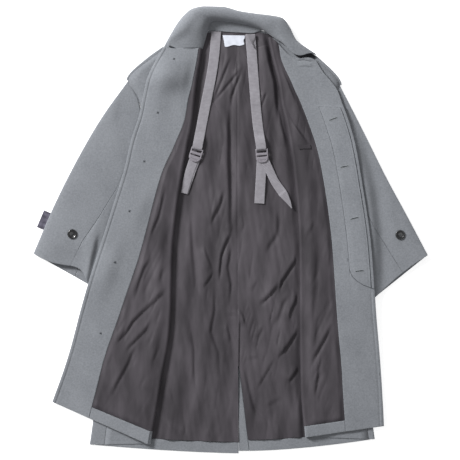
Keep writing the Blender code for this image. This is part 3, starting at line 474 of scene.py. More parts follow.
def crossed_stitch(place: tuple[float, float, float], reach: float, thread: float, turn: float) -> list[Form]:
    """Lays two short humped bars of thread across each other.

    Args:
        place: Middle of the stitch in mm.
        reach: Half its length.
        thread: Thickness of the thread.
        turn: Direction of the first bar, in radians.

    Returns:
        Both bars.
    """
    t = np.linspace(-1, 1, 7)
    bars = []
    for angle in (turn, turn + math.pi / 2):
        path = reach * np.column_stack([t * math.cos(angle), t * math.sin(angle), 0.3 * (1 - t * t)])
        bars.append(bar_along(np.array(place) + path, thread, thread * 0.8, 2.0, 8))
    return bars


def join_parts(name: str, parts: Sequence[Form]) -> bpy.types.Object:
    """Puts several closed forms into one object, each turned right side out first."""
    vertices, faces, count = [], [], 0
    for points, cells in parts:
        faces.append(turned_out(points, cells) + count)
        vertices.append(points)
        count += len(points)
    return mesh_object(name, np.concatenate(vertices), np.concatenate(faces))


# Finishes


def linear(code: str) -> tuple[float, float, float, float]:
    """Turns an sRGB hex code into linear colour."""
    values = [int(code[i : i + 2], 16) / 255 for i in (1, 3, 5)]
    return (*[v / 12.92 if v <= 0.04045 else ((v + 0.055) / 1.055) ** 2.4 for v in values], 1.0)


def per_metre(size_mm: float) -> float:
    """Turns the size of a pattern's feature in mm into a texture scale in metres."""
    return 1.0 / (size_mm * MM)


def add_node(tree: bpy.types.NodeTree, kind: str, inputs: dict, **settings: object) -> bpy.types.Node:
    """Adds a node with its settings, values and links.

    Args:
        tree: Node tree to add to.
        kind: Node type.
        inputs: Values for its sockets, or an output socket to link to each.
        settings: Attributes to set on the node.

    Returns:
        The node.
    """
    made = tree.nodes.new(kind)
    for key, value in settings.items():
        setattr(made, key, value)
    for key, value in inputs.items():
        if isinstance(value, bpy.types.NodeSocket):
            tree.links.new(value, made.inputs[key])
        else:
            made.inputs[key].default_value = value
    return made


class Pattern:
    """A new material, and the nodes that feed its shader."""

    def __init__(self, name: str, values: dict) -> None:
        """Makes the material and sets values on its shader's own sockets."""
        self.material = bpy.data.materials.new(name)
        self.material.use_nodes = True
        self.tree = self.material.node_tree
        self.shader = self.tree.nodes["Principled BSDF"]
        for socket, value in values.items():
            self.shader.inputs[socket].default_value = value

    def place(self) -> bpy.types.NodeSocket:
        """Reads places on the object, in metres."""
        return add_node(self.tree, "ShaderNodeTexCoord", {}).outputs["Object"]

    def noise(self, place: bpy.types.NodeSocket, size_mm: float, detail: float, **more: float) -> bpy.types.NodeSocket:
        """Adds cloudy noise whose features have a size in mm."""
        inputs = {"Vector": place, "Scale": per_metre(size_mm), "Detail": detail, **more}
        return add_node(self.tree, "ShaderNodeTexNoise", inputs).outputs["Fac"]

    def blend(self, first: bpy.types.NodeSocket, share: float, second: bpy.types.NodeSocket) -> bpy.types.NodeSocket:
        """Adds a share of the first value to the second."""
        inputs = {0: first, 1: share, 2: second}
        return add_node(self.tree, "ShaderNodeMath", inputs, operation="MULTIPLY_ADD").outputs[0]

    def colour(self, value: bpy.types.NodeSocket, *stops: tuple[float, str]) -> None:
        """Colours the shader by a value, from stop to stop."""
        ramp = add_node(self.tree, "ShaderNodeValToRGB", {"Fac": value})
        elements = ramp.color_ramp.elements
        while len(elements) < len(stops):
            elements.new(0.5)
        for element, (position, code) in zip(elements, stops):
            element.position, element.color = position, linear(code)
        self.tree.links.new(ramp.outputs["Color"], self.shader.inputs["Base Color"])

    def bump(self, value: bpy.types.NodeSocket, strength: float, depth_mm: float) -> None:
        """Adds a value to the shader as bump."""
        inputs = {"Height": value, "Strength": strength, "Distance": depth_mm * MM}
        bump = add_node(self.tree, "ShaderNodeBump", inputs)
        self.tree.links.new(bump.outputs["Normal"], self.shader.inputs["Normal"])


@dataclass(frozen=True)
class Finish:
    """A finish of the coat: its name, its slot and its shader sockets."""

    name: str
    slot: str
    roughness: float
    sheen: float = 0.0
    sheen_tint: str = "#ffffff"
    sheen_roughness: float = 0.6
    specular: float = 0.5
    coat: float = 0.0

    def shade(self, pattern: Pattern) -> None:
        """Adds the finish's own pattern to the shader."""

    def material(self) -> bpy.types.Material:
        """Makes the material, or finds it if it is there."""
        found = bpy.data.materials.get(self.name)
        if found:
            return found
        pattern = Pattern(self.name, {
            "Roughness": self.roughness,
            "Specular IOR Level": self.specular,
            "Sheen Weight": self.sheen,
            "Sheen Roughness": self.sheen_roughness,
            "Sheen Tint": linear(self.sheen_tint),
            "Coat Weight": self.coat,
        })
        self.shade(pattern)
        return pattern.material


@dataclass(frozen=True)
class MeltonWool(Finish):
    """Milled wool cloth: short felted fibres hide the weave, so the eye sees a soft mottled grey with no gloss."""

    deep: str = "#6e7176"
    mid: str = "#7c7f84"
    pale: str = "#888b90"
    fleck_mm: float = 4.0
    cloud_mm: float = 70.0
    nap_mm: float = 2.2

    def shade(self, pattern: Pattern) -> None:
        """Mixes three greys by flecks of tangled fibre and by broad clouds, with a nap as bump."""
        place = pattern.place()
        fleck = pattern.noise(place, self.fleck_mm, 4.0, Roughness=0.7)
        cloud = pattern.noise(place, self.cloud_mm, 2.0)
        both = pattern.blend(cloud, 0.35, fleck)
        pattern.colour(both, (0.42, self.deep), (0.68, self.mid), (0.95, self.pale))
        pattern.bump(pattern.noise(place, self.nap_mm, 3.0), 0.35, 0.6)


@dataclass(frozen=True)
class SatinLining(Finish):
    """Acetate satin: smooth floats of yarn give a soft gloss along each fold, on a purplish charcoal."""

    deep: str = "#39363a"
    pale: str = "#4e4a4f"
    cloud_mm: float = 38.0
    rumple_mm: float = 26.0
    drawn_out: float = 0.3

    def shade(self, pattern: Pattern) -> None:
        """Mixes two charcoals by clouds drawn out along the coat, which paint the light and shade of soft lengthwise
        folds over the cloth's uneven tone, and adds long shallow rumples as bump.
        """
        inputs = {"Vector": pattern.place(), "Scale": (1.0, self.drawn_out, 1.0)}
        drawn = add_node(pattern.tree, "ShaderNodeMapping", inputs).outputs[0]
        # The drawn-out streaks of darker and paler charcoal are painted shade and light of soft folds.
        pattern.colour(pattern.noise(drawn, self.cloud_mm, 3.0), (0.35, self.deep), (0.65, self.pale))
        pattern.bump(pattern.noise(drawn, self.rumple_mm, 3.0), 0.3, 3.0)


@dataclass(frozen=True)
class WovenBand(Finish):
    """Woven tape: cross ribs of thick yarn, drawn coarser than the real 0.8 mm so that they show."""

    deep: str = "#827f85"
    pale: str = "#929096"
    rib_mm: float = 1.8
    cloud_mm: float = 12.0

    def shade(self, pattern: Pattern) -> None:
        """Runs ribs across the band on its own texture places, with a little dirt in broad clouds."""
        place = add_node(pattern.tree, "ShaderNodeUVMap", {}, uv_map="cloth").outputs[0]
        scale = per_metre(self.rib_mm) / 20 * math.pi
        inputs = {"Vector": place, "Scale": scale, "Distortion": 0.6, "Detail": 1.0}
        ribs = add_node(pattern.tree, "ShaderNodeTexWave", inputs, bands_direction="Y").outputs["Fac"]
        both = pattern.blend(ribs, 0.22, pattern.noise(place, self.cloud_mm, 3.0))
        pattern.colour(both, (0.4, self.deep), (0.9, self.pale))
        pattern.bump(ribs, 0.5, 0.5)


@dataclass(frozen=True)
class Moulded(Finish):
    """Moulded or polished plastic: one colour, faintly clouded, with the gloss on the shader's own sockets."""

    deep: str = "#101113"
    pale: str = "#1b1c1e"
    cloud_mm: float = 5.0

    def shade(self, pattern: Pattern) -> None:
        """Mixes two close colours by noise, and adds a very shallow bump."""
        cloud = pattern.noise(pattern.place(), self.cloud_mm, 4.0)
        pattern.colour(cloud, (0.0, self.deep), (1.0, self.pale))
        pattern.bump(cloud, 0.15, 0.3)


WOOL = MeltonWool("melton_wool_cloth", "melton_wool", 0.95, sheen=0.25, sheen_tint="#c9cbd0", specular=0.2)
# The under collar is a darker felt, made near black as painted shade of the hollow under the collar's ends.
UNDERCOLLAR_PAINTED_SHADE = MeltonWool(
    "undercollar_felt_painted_shade", "melton_wool", 0.95, specular=0.1, deep="#26272a", mid="#2c2d31", pale="#333439"
)
LINING_SATIN = SatinLining("acetate_satin_lining", "satin_lining", 0.58, sheen=0.06, sheen_tint="#8f8a92", specular=0.2)
STRAP_BAND = WovenBand("cotton_webbing", "strap_webbing", 0.85, sheen=0.2, specular=0.3)
LABEL_WHITE = WovenBand(
    "woven_label_white", "blank_label", 0.7, specular=0.3, deep="#cfd3de", pale="#dee2ec", rib_mm=1.6
)
TAB_BAND = WovenBand("woven_tab_charcoal", "tab_satin", 0.7, specular=0.3, deep="#3f3d48", pale="#6b6877", rib_mm=7.0)
HORN = Moulded("polished_horn_button", "horn_button", 0.3, specular=0.5, coat=0.4)
ACETAL = Moulded("moulded_acetal_buckle", "buckle_acetal", 0.4, specular=0.5, deep="#77737a", pale="#8a868d")
THREAD = Moulded("button_thread", "melton_wool", 0.8, specular=0.3, deep="#3b3e42", pale="#4c5054")
GREY_THREAD = Moulded("buttonhole_twist", "melton_wool", 0.8, specular=0.3, deep="#7c8083", pale="#8f9396")
# Near-black bars laid in the slits of the buttonholes and the collar: painted shadow of the slits' depth.
SLIT_PAINTED_SHADOW = Moulded("buttonhole_painted_shadow", "melton_wool", 0.9, specular=0.1, deep="#2b2d31", pale="#36393d")


def dress(thing: bpy.types.Object, finish: Finish, *nodes: str) -> bpy.types.Object:
    """Gives a piece its finish, its place on the body and the CAD nodes that it stands for.

    Args:
        thing: The piece.
        finish: What it is made of.
        nodes: CAD nodes that it replaces.

    Returns:
        The piece.
    """
    thing.data.materials.clear()
    thing.data.materials.append(finish.material())
    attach(thing, "root")
    if nodes:
        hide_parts(*nodes)
    LOG.info("%s: %d faces of %s", thing.name, len(thing.data.polygons), finish.name)
    return thing


def declare_cloth(
    thing: bpy.types.Object, middle: np.ndarray, keep: np.ndarray | None = None
) -> None:
    """Works out the area of each of a sheet's cells, and keeps nothing of it.

    Args:
        thing: Not used.
        middle: Middle of the cloth in mm.
        keep: Says which cells have cloth.
    """
    corner = middle[:-1, :-1]
    cells = np.linalg.norm(np.cross(middle[:-1, 1:] - corner, middle[1:, :-1] - corner), axis=-1)
    if keep is not None:
        cells = cells * keep


def lay_cloth(
    name: str, middle: np.ndarray, thickness: float, finish: Finish, node: str, rests_on: Sequence[str],
    held: str = "laid", **shape: object,
) -> bpy.types.Object:
    """Makes a sheet and dresses it.

    Args:
        name: Name of the piece.
        middle: Middle of the cloth in mm.
        thickness: In mm.
        finish: What it is made of.
        node: CAD node that it replaces.
        rests_on: Not used.
        held: Not used.
        shape: What else lay_sheet takes.

    Returns:
        The piece.
    """
    piece = dress(lay_sheet(name, middle, thickness, **shape), finish, node)
    declare_cloth(piece, middle, shape.get("keep"))
    return piece


# Back


class BackRow(NamedTuple):
    """One level of the back, from its centre seam to its side, as in the solids."""

    name: str
    centre_x: float
    centre_y: float
    side_x: float
    side_y: float
    bow: float
    tuck: float


BACK_ROWS = {
    Side.LEFT: [
        BackRow("neck", 13, 505, -171, 456, 2.2, 12),
        BackRow("shoulder", 14, 446, -214, 426, 1.8, 12),
        BackRow("shoulder_point", 14, 387, -261, 375, 1.2, 5),
        BackRow("armhole_high", 15, 332, -236, 330, 1.0, 5),
        BackRow("armhole", 15, 275, -226, 288, 1.0, 5),
        BackRow("armhole_low", 16, 200, -231, 205, 1.0, 5),
        BackRow("underarm", 16, 130, -259, 130, 1.0, 5),
        BackRow("waist", 17, -50, -284, -50, 1.0, 24),
        BackRow("hip", 18, -215, -307, -215, 1.0, 30),
        BackRow("thigh", 19, -375, -330, -375, 1.2, 34),
        BackRow("hem", 20, -559, -353, -537, 1.5, 37),
    ],
    Side.RIGHT: [
        BackRow("neck", 13, 505, 164, 467, 2.2, 12),
        BackRow("shoulder", 14, 446, 218, 432, 1.8, 12),
        BackRow("shoulder_point", 14, 387, 278, 363, 1.2, 5),
        BackRow("armhole_high", 15, 332, 256, 315, 1.0, 5),
        BackRow("armhole", 15, 275, 251, 272, 1.0, 5),
        BackRow("armhole_low", 16, 200, 254, 200, 1.0, 5),
        BackRow("underarm", 16, 130, 271, 120, 1.0, 5),
        BackRow("waist", 17, -50, 298, -50, 1.0, 12),
        BackRow("hip", 18, -215, 321, -215, 1.0, 12),
        BackRow("thigh", 19, -375, 341, -375, 1.2, 14),
        BackRow("hem", 20, -553, 361, -523, 1.6, 15),
    ],
}

LINING_CREASES = [
    Crease("waist_left", ((224.8, 188.7), (220.5, 205), (214, 217), (210.7, 227.7)), 5.0, 10),
    Crease("centre", ((233.5, 228.8), (226, 244), (221.6, 256), (220.5, 267), (219.4, 284.7)), 6.0, 10, 2.4),
    Crease("centre_head", ((224.8, 230), (233.5, 230)), 2.4, 7, 2.2, -1.0),
    Crease(
        "centre_right", ((229, 240.7), (231.3, 249.4), (228, 267), (231.3, 284), (230.3, 297), (228.6, 308)), 4.0, 7
    ),
    Crease("flank_left", ((204, 245), (207.5, 256), (214, 271)), 3.6, 8, 2.2),
    Crease("flank_left_low", ((214, 271), (210.7, 277.6), (203, 288.5)), 3.2, 8, 2.2),
    Crease("short_bow", ((242, 216), (244.4, 225.6), (241, 232)), 2.6, 6, 2.2),
    Crease("side_soft", ((190.8, 200), (192.3, 245), (195.5, 283), (202, 305)), 2.8, 13, 4.0),
    Crease("drag_high", ((297.5, 253.8), (295.3, 262.4), (288.8, 272), (282.3, 282), (278, 295)), 6.0, 11, 2.6),
    Crease("drag_mid", ((280, 283), (271.5, 294), (263.9, 301.5), (257.4, 305.8)), 5.4, 10, 2.6),
    Crease("drag_side", ((298.6, 290.6), (296.4, 301.5), (291, 312.3), (290, 322)), 5.4, 9, 2.4),
    Crease("drag_broad", ((290, 294), (283.4, 304.7), (276.5, 326.5)), 4.0, 12, 4.0),
    Crease("vent_head", ((239, 308), (243.3, 315.6), (246.5, 324.3)), 4.4, 8, 2.2),
    Crease("hollow_right", ((278, 207), (279, 223.4), (278, 234), (269.3, 247), (263.9, 256)), 3.6, 13, 4.0),
    Crease("faint", ((258.5, 279.8), (252, 291.7)), 1.8, 7),
    Crease("vent_cross", ((224.9, 313.5), (237.9, 316)), 2.4, 6, 2.0, -1.0),
    Crease("skirt_centre", ((215, 275), (215, 310), (211, 331.7), (218.9, 352), (220.5, 381)), 3.6, 13, 3.4),
    Crease("skirt_left", ((188.3, 310), (194, 348), (195.6, 399)), 3.6, 14, 3.4),
    Crease("skirt_edge", ((162, 364.7), (170.6, 388.5), (175, 408)), 3.4, 10, 3.0),
    Crease("hem_left", ((155, 401.5), (168.5, 421), (183.6, 438.4)), 3.6, 10, 3.0),
    Crease("vent_side", ((226.5, 322.8), (231.6, 341.9)), 2.6, 7, 2.4),
    Crease("low_drag", ((300.5, 327.9), (287.8, 347), (277, 360)), 6.0, 11, 2.6),
    Crease("low_drag_in", ((263.5, 326.6), (258.4, 339)), 3.4, 8),
    Crease("foot_drag", ((300.8, 366.8), (287.8, 384)), 5.6, 10, 2.6),
    Crease("fine", ((276.3, 357), (255.9, 391.6)), 3.0, 7, 2.0),
    Crease("foot_cross", ((283.4, 398), (263.9, 408)), 2.4, 9, 3.0),
    Crease("vent_wrinkle", ((244.4, 360), (259.6, 358)), 1.8, 7, 2.6, -1.0),
    Crease("vent_sweep", ((243, 361), (249.5, 390), (255, 410), (277, 430)), 3.8, 15, 4.0),
    Crease("yoke_left", ((232, 54.5), (212.2, 104.4)), 3.4, 9, 2.8),
    Crease("yoke_ridge", ((244, 66), (232, 80), (212, 104)), 3.0, 9, 3.0),
    Crease("yoke_right", ((243.2, 66.5), (232, 95.8), (231.2, 109.6)), 4.2, 9, 3.0),
    Crease("centre_band", ((231.5, 92), (230, 125), (230, 150), (231, 190), (231.5, 245)), 7.5, 13, 4.6),
    Crease("vent_seam", ((240.2, 308), (239.9, 330), (239.4, 350), (239.2, 385)), 3.6, 6, 1.6),
    Crease("valley_high", ((265, 33), (275.5, 43), (270.7, 60), (276, 80), (277.5, 103), (279, 125)), 8.0, 11, 3.6),
    Crease("valley_in", ((279, 103), (282, 123), (288, 146)), 3.2, 8, 2.6),
    Crease("strap_side", ((266.5, 91.5), (262.2, 106)), 2.8, 7, 2.4),
    Crease("pucker_left", ((184, 425), (186, 434)), 2.2, 5, 1.8),
    Crease("pucker_mid", ((209, 429), (211, 438)), 2.0, 5, 1.8),
]


@dataclass
class Back:
    """The two halves of the back with their rims, and the lining, turned-up hem and vent on them."""

    vent_top: float = 8.8
    vent_top_width: float = 3.0
    vent_width: float = 27.0
    hem_turn: float = 9.85
    swell: float = 4.6
    rim_open: tuple[float, float] = (2.0, 6.2)
    valleys: dict = field(default_factory=dict)

    def line(self, side: Side, at: np.ndarray, part: np.ndarray) -> np.ndarray:
        """Goes straight across in x while y falls as the part to the power of the bow.

        Args:
            side: Which half.
            at: Levels.
            part: Parts of the way from the centre seam to the side.

        Returns:
            Places in mm.
        """
        rows = BACK_ROWS[side]
        centre, edge = spot(rows, "centre", at), spot(rows, "side", at)
        x = centre[..., 0] + (edge[..., 0] - centre[..., 0]) * part
        y = centre[..., 1] + (edge[..., 1] - centre[..., 1]) * np.abs(part) ** column(rows, "bow", at)
        return np.stack([x, y], axis=-1)

    def rim(self, side: Side, at: np.ndarray) -> tuple[np.ndarray, np.ndarray]:
        """Finds where the back starts to turn up at its side, and that place's part of the way there."""
        rows = BACK_ROWS[side]
        length = np.abs(column(rows, "side_x", at) - column(rows, "centre_x", at))
        part = 1 - RIM_OUTER / length
        return self.line(side, at, part), part

    def side_seam(self, side: Side, at: np.ndarray, gap: float) -> np.ndarray:
        """Finds the seam with the front, on top of the rim, moved in by a gap in mm."""
        turn, _ = self.rim(side, at)
        tuck = column(BACK_ROWS[side], "tuck", at) - RIM_OUTER + gap
        return turn + np.stack([-side.sign * tuck, np.zeros_like(tuck)], axis=-1)

    def spread(self, side: Side, at: np.ndarray, shares: np.ndarray, start: np.ndarray | float) -> np.ndarray:
        """Spreads places from near the centre seam to the rim.

        Args:
            side: Which half.
            at: Levels.
            shares: Parts of the way to the rim.
            start: How far from the seam they start, in mm.

        Returns:
            Places, levels by shares by 2.
        """
        _, part = self.rim(side, at)
        places = self.line(side, at[:, None], part[:, None] * shares)
        places[..., 0] += np.reshape(start, (-1, 1)) * (1 - shares)
        return places

    def shell(self, side: Side) -> tuple[np.ndarray, np.ndarray]:
        """Goes flat from the centre seam, then round half a circle at the rim and back in to the side seam.

        Args:
            side: Which half.

        Returns:
            Middle of the cloth, and which cells have cloth.
        """
        at = packed(0, 10, 150, [*self.rim_open, 10], 0.02)
        turn, part = self.rim(side, at)
        shares = packed(0, 1, 24, [0], 0.01)
        flat = self.line(side, at[:, None], part[:, None] * shares)
        flat[..., 0] += side.sign * SEAM / 2 * (shares == 0)
        angle = np.radians(np.linspace(-67.5, 90, 8))
        bend = turn[:, None] + np.column_stack([side.sign * RIM * np.cos(angle), np.zeros(len(angle))])
        inward = np.array([0.3, 0.6, 0.8, 0.9, 0.96, 1.0])
        top = turn[:, None] + (self.side_seam(side, at, -SEAM / 2) - turn)[:, None] * inward[:, None]
        height = np.repeat([BACK_Z, 0, FRONT_Z], [len(shares), len(angle), len(inward)])
        bent = slice(len(shares), len(shares) + len(angle))
        height[bent] = BACK_Z + RIM + RIM * np.sin(angle)
        middle = raised(np.concatenate([flat, bend, top], axis=1), height)
        keep = np.ones((middle.shape[0] - 1, middle.shape[1] - 1), bool)
        rows = (at[:-1] >= self.rim_open[0] - 1e-6) & (at[:-1] < self.rim_open[1] - 1e-6)
        keep[rows, bent.start - 1 : bent.stop - 1] = False
        return middle, keep

    def vent(self, at: np.ndarray) -> np.ndarray:
        """Widens the vent facing evenly from its top to the hem, with 0 above it."""
        share = np.clip((at - self.vent_top) / (10 - self.vent_top), 0, 1)
        return (at >= self.vent_top) * (self.vent_top_width + (self.vent_width - self.vent_top_width) * share)

    def valley(self, side: Side, y: np.ndarray) -> np.ndarray:
        """Reads where the fold of a front lies, between the table's rows."""
        line = self.valleys[side]
        return np.interp(y, line[::-1, 1], line[::-1, 0])

    def relief(self, x: np.ndarray, y: np.ndarray) -> np.ndarray:
        """Adds a soft swell, uneven waves and the named creases, all fading out under the folded fronts.

        Args:
            x: Places across, in mm.
            y: Places along, in mm.

        Returns:
            Heights above the flat lining, in mm.
        """
        loose = 2.6 * waves(x - 0.25 * y, y, 3, 75.0, 300.0) + 0.5 * waves(x, y, 8, 24.0, 110.0)
        fine = 1.1 * stray_creases(x - 0.35 * y, y, 15, 60.0, 300.0)
        finest = 0.7 * stray_creases(x + 0.2 * y, y, 27, 30.0, 130.0)
        drag = 3.4 * stray_creases(0.91 * x - 0.41 * y, 0.41 * x + 0.91 * y, 53, 36.0, 150.0)
        drag *= bell((x - 100) / 75, (y + 262) / 130)
        height = self.swell + loose + fine + finest + drag + crease_relief(LINING_CREASES, x, y)
        left = soft_step((x - self.valley(Side.LEFT, y) - 4) / 40)
        right = soft_step((self.valley(Side.RIGHT, y) - x) / 15)
        ends = soft_step((y + 556) / 26) * soft_step((500 - y) / 30)
        centre = 1 - 0.12 * bell((x - 17) / 2.2)
        return np.maximum(height, 0.0) * left * right * ends * centre

    def lining_top(self, x: np.ndarray, y: np.ndarray) -> np.ndarray:
        """Finds the top of the back lining."""
        return LINING_Z + SATIN / 2 + self.relief(np.asarray(x, float), np.asarray(y, float))

    def lining(self, side: Side) -> np.ndarray:
        """Spreads points closely where the lining shows and widely under the fronts, and lifts them by the relief."""
        at = packed(0.1, self.hem_turn - 0.002, 300, [0.1, self.hem_turn - 0.002], 0.01)
        shares = np.concatenate([[0, 0.002, 0.005, 0.009], np.linspace(0, 0.68, 92)[2:], np.linspace(0.72, 0.97, 7)])
        places = self.spread(side, at, shares, self.vent(at) * (side is Side.RIGHT))
        return raised(places, LINING_Z + self.relief(places[..., 0], places[..., 1]))

    def hem(self, side: Side) -> np.ndarray:
        """Runs a flat band along the hem, level with the lining."""
        at = packed(self.hem_turn, 10, 8, [self.hem_turn, 10], 0.012)
        start = side.sign * SEAM / 2 + (self.vent(at) + SEAM) * (side is Side.RIGHT)
        places = self.spread(side, at, packed(0, 0.97, 50, [0, 0.97], 0.006), start)
        return raised(places, HEM_TURN_Z + 0.35 + 0.35 * waves(places[..., 0], places[..., 1], 21, 60.0, 500.0))

    def vent_band(self) -> np.ndarray:
        """Runs a wedge from the vent's top to the hem, bounded by the centre seam and the right lining."""
        at = packed(self.vent_top + 0.01, 10, 60, [10], 0.02)
        inner = self.line(Side.RIGHT, at, np.zeros(len(at)))
        width = self.vent(at) - SEAM - SEAM / 2
        x = inner[:, :1] + SEAM / 2 + width[:, None] * packed(0, 1, 8, [0, 1], 0.08)
        return raised(np.stack([x, np.broadcast_to(inner[:, 1:], x.shape)], axis=-1), HEM_TURN_Z + 0.3)

    def build(self) -> None:
        """Makes and dresses the pieces of the back."""
        for side in Side:
            word = side.value
            middle, keep = self.shell(side)
            edges = (True, True, True, False)
            back = lay_cloth(
                f"back_cloth_{word}", middle, MELTON, WOOL, f"back_{word}", ["floor"], edges=edges, keep=keep
            )
            lay_cloth(
                f"back_lining_cloth_{word}", self.lining(side), SATIN, LINING_SATIN, f"back_lining_{word}",
                [back.name], edges=(True, True, False, True),
            )
            lay_cloth(f"back_hem_cloth_{word}", self.hem(side), MELTON, WOOL, f"back_hem_{word}", [back.name])
        lay_cloth("vent_facing_cloth", self.vent_band(), MELTON, WOOL, "vent_facing", ["back_cloth_right"])


# Sleeves


class SleeveRow(NamedTuple):
    """One ring of a sleeve, as in the solids."""

    name: str
    outer_x: float
    outer_y: float
    inner_x: float
    inner_y: float
    height: float
    crown: float
    follow: float


SLEEVE_ROWS = {
    Side.LEFT: [
        SleeveRow("armhole", -258, 374, -256, 131, FRONT_TOP, 9.0, 1.0),
        SleeveRow("upper", -324, 280, -283, 67, 13, 3.2, 0.3),
        SleeveRow("elbow", -387, 170, -305, -5, 16, 2.5, 0.0),
        SleeveRow("forearm", -441, 62, -331, -75, 17, 2.5, 0.0),
        SleeveRow("cuff", -493, -59, -355, -137, 20, 2.6, 0.0),
    ],
    Side.RIGHT: [
        SleeveRow("armhole", 275, 362, 268, 121, FRONT_TOP, 9.0, 1.0),
        SleeveRow("upper", 331, 250, 292, 45, 13, 3.2, 0.3),
        SleeveRow("elbow", 388, 134, 311, -30, 16, 2.5, 0.0),
        SleeveRow("forearm", 443, 32, 331, -105, 17, 2.5, 0.0),
        SleeveRow("cuff", 493, -63, 351, -177, 20, 2.6, 0.0),
    ],
}


SLEEVE_CREASES = {
    Side.LEFT: [
        Crease("cuff_fold", ((101, 228), (96.7, 251), (93, 266), (86, 300)), 9.5, 14, 5.5),
        Crease("head", ((128, 80), (121, 100), (117, 130)), 2.6, 22, 10.0),
        Crease("seam_dent", ((100.3, 215), (92, 229), (80.9, 248)), 1.2, 8, 3.0, -1.0),
    ],
    Side.RIGHT: [
        Crease(
            "beside_flap",
            ((331, 70), (344, 112), (358, 149), (368, 190), (371.5, 220), (374, 251), (372.5, 306), (369, 380)),
            -12.0, 34, 13.0, -1.0,
        ),
        Crease("mid", ((392, 190), (399, 225), (405, 250)), 1.6, 20, 8.0),
    ],
}


@dataclass
class Sleeves:
    """Both sleeves: open flattened tubes of a top and an under piece, each with a cuff button."""

    back: Back
    clear: float = -0.8
    armhole_levels: tuple[float, float] = (2.02, 3.96)
    flat_crown: float = 8.0
    top_seam: float = 104.0
    under_seam: float = 239.7
    recess: dict = field(default_factory=lambda: {Side.LEFT: (31.0, 2.7, 0.55), Side.RIGHT: (6.0, 0.76, 0.2)})
    seam_turn: dict = field(default_factory=lambda: {Side.LEFT: (0, 28, 17, 4, -1), Side.RIGHT: (0, 8, -3, -14, -23)})
    turn_reach: float = 74.0
    button_radius: float = 12.0
    button_profile: tuple = (
        (0.7, 0.0), (0.86, 0.3), (0.96, 0.9), (1.0, 1.7), (0.98, 2.6), (0.92, 3.3),
        (0.85, 3.6), (0.78, 3.5), (0.7, 3.0), (0.6, 2.4), (0.45, 2.1), (0.25, 2.0),
    )
    button_place: dict = field(default_factory=lambda: {Side.LEFT: (-395.0, -10.0), Side.RIGHT: (423.5, -12.0)})
    tab: tuple[float, float, float] = (3.17, 3.52, 19.0)
    tab_lift: float = 1.1

    def armhole(self, side: Side, share: np.ndarray) -> np.ndarray:
        """Goes straight from level to level of the armhole, from the shoulder point, 0, to the underarm, 1."""
        start, span = self.armhole_levels
        at = start + span * np.asarray(share, float)
        levels = np.arange(2.0, 7.0)
        turn, _ = self.back.rim(side, levels)
        x = np.interp(at, levels, turn[:, 0]) + side.sign * self.clear
        return np.stack([x, np.interp(at, levels, turn[:, 1])], axis=-1)

    def rings(self, side: Side, at: np.ndarray, degrees: np.ndarray, wall_in: float) -> np.ndarray:
        """Shapes rings: across as a cosine, up as a superellipse, boxier below, and bent to the armhole near it.

        Args:
            side: Which sleeve.
            at: Rows of the table, one for each ring.
            degrees: Angles round it, the same for all rings or a row for each: 0 at the outer edge, 90 on top.
            wall_in: How far inside the outer face, in mm.

        Returns:
            Points, rings by angles by 3.
        """
        rows = SLEEVE_ROWS[side]
        at = np.asarray(at, float)[:, None]
        angle = np.radians(np.atleast_2d(degrees))
        outer, inner = spot(rows, "outer", at), spot(rows, "inner", at)
        height, crown, follow = (column(rows, name, at) for name in ("height", "crown", "follow"))
        width = np.linalg.norm(inner - outer, axis=-1)
        across = np.abs(np.cos(angle))
        above = (1 - across**crown) ** (1 / crown)
        below = -((1 - across**self.flat_crown) ** (1 / self.flat_crown))
        bulge = np.where(np.sin(angle) >= 0, above, below)
        share = 0.5 - 0.5 * np.cos(angle) * (1 - 2 * wall_in / width)
        lift = height / 2 + (height / 2 - wall_in) * bulge
        place = outer + (inner - outer) * share[..., None]
        head_outer, head_inner = spot(rows, "outer", np.zeros(1)), spot(rows, "inner", np.zeros(1))
        straight = head_outer + (head_inner - head_outer) * share[..., None]
        place = place + (self.armhole(side, share) - straight) * follow[..., None]
        back = unit(spot(rows, "outer", at - 0.2) - spot(rows, "outer", at))
        near_cuff = soft_step((at - 3.0) / 1.0)
        upper = np.clip(lift / height, 0, 1) ** 2
        depth, lean, sink = self.recess[side]
        pull = np.sin(math.pi * share**lean) * upper * near_cuff
        place, lift = place + back * (depth * pull)[..., None], lift * (1 - sink * pull)
        on_top = np.clip(np.sin(angle), 0, 1) * soft_step(at / 0.6)
        dents = self.dents(side, at, share) + crease_relief(SLEEVE_CREASES[side], place[..., 0], place[..., 1])
        return raised(place, np.maximum(lift + dents * on_top, wall_in))

    def dents(self, side: Side, at: np.ndarray, share: np.ndarray) -> np.ndarray:
        """Adds waves that slant over the sleeve, and hollows in the crook and at the head, by row and share."""
        swell = 0.8 * waves(share * 150.0, at * 120.0, 31 if side is Side.LEFT else 47, 95.0, 150.0)
        crook = -1.6 * bell((at - 1.1) / 0.5, (share - 0.75) / 0.22)
        head = -1.2 * bell((at - 0.45) / 0.2) * np.sin(math.pi * share)
        return swell + crook + head

    def cloth(self, side: Side, name: str, start: float, end: float) -> None:
        """Makes one piece of a sleeve between two angles, with its long edges and cuff softened.

        Args:
            side: Which sleeve.
            name: Top or under.
            start: First angle.
            end: Last angle.
        """
        at = packed(0, 4, 90, [4], 0.02)
        degrees = packed(start + 0.15, end - 0.15, 64, [start, end, 0, 180], 2.4)
        turn = np.interp(at, np.arange(5), self.seam_turn[side])
        degrees = degrees + turn[:, None] * np.clip(1 - np.abs(degrees - self.top_seam) / self.turn_reach, 0, 1)
        outer = self.rings(side, at, degrees, 0.0)
        inner = self.rings(side, at, degrees, MELTON)
        middle = (outer + inner) / 2
        factor = rounded_edge(middle, MELTON * 0.6, (False, True, True, True))[..., None]
        upper, lower = middle + (outer - middle) * factor, middle + (inner - middle) * factor
        piece = close_shell(f"sleeve_{name}_cloth_{side.value}", upper, lower)
        declare_cloth(dress(piece, WOOL, f"sleeve_{name}_{side.value}"), middle)

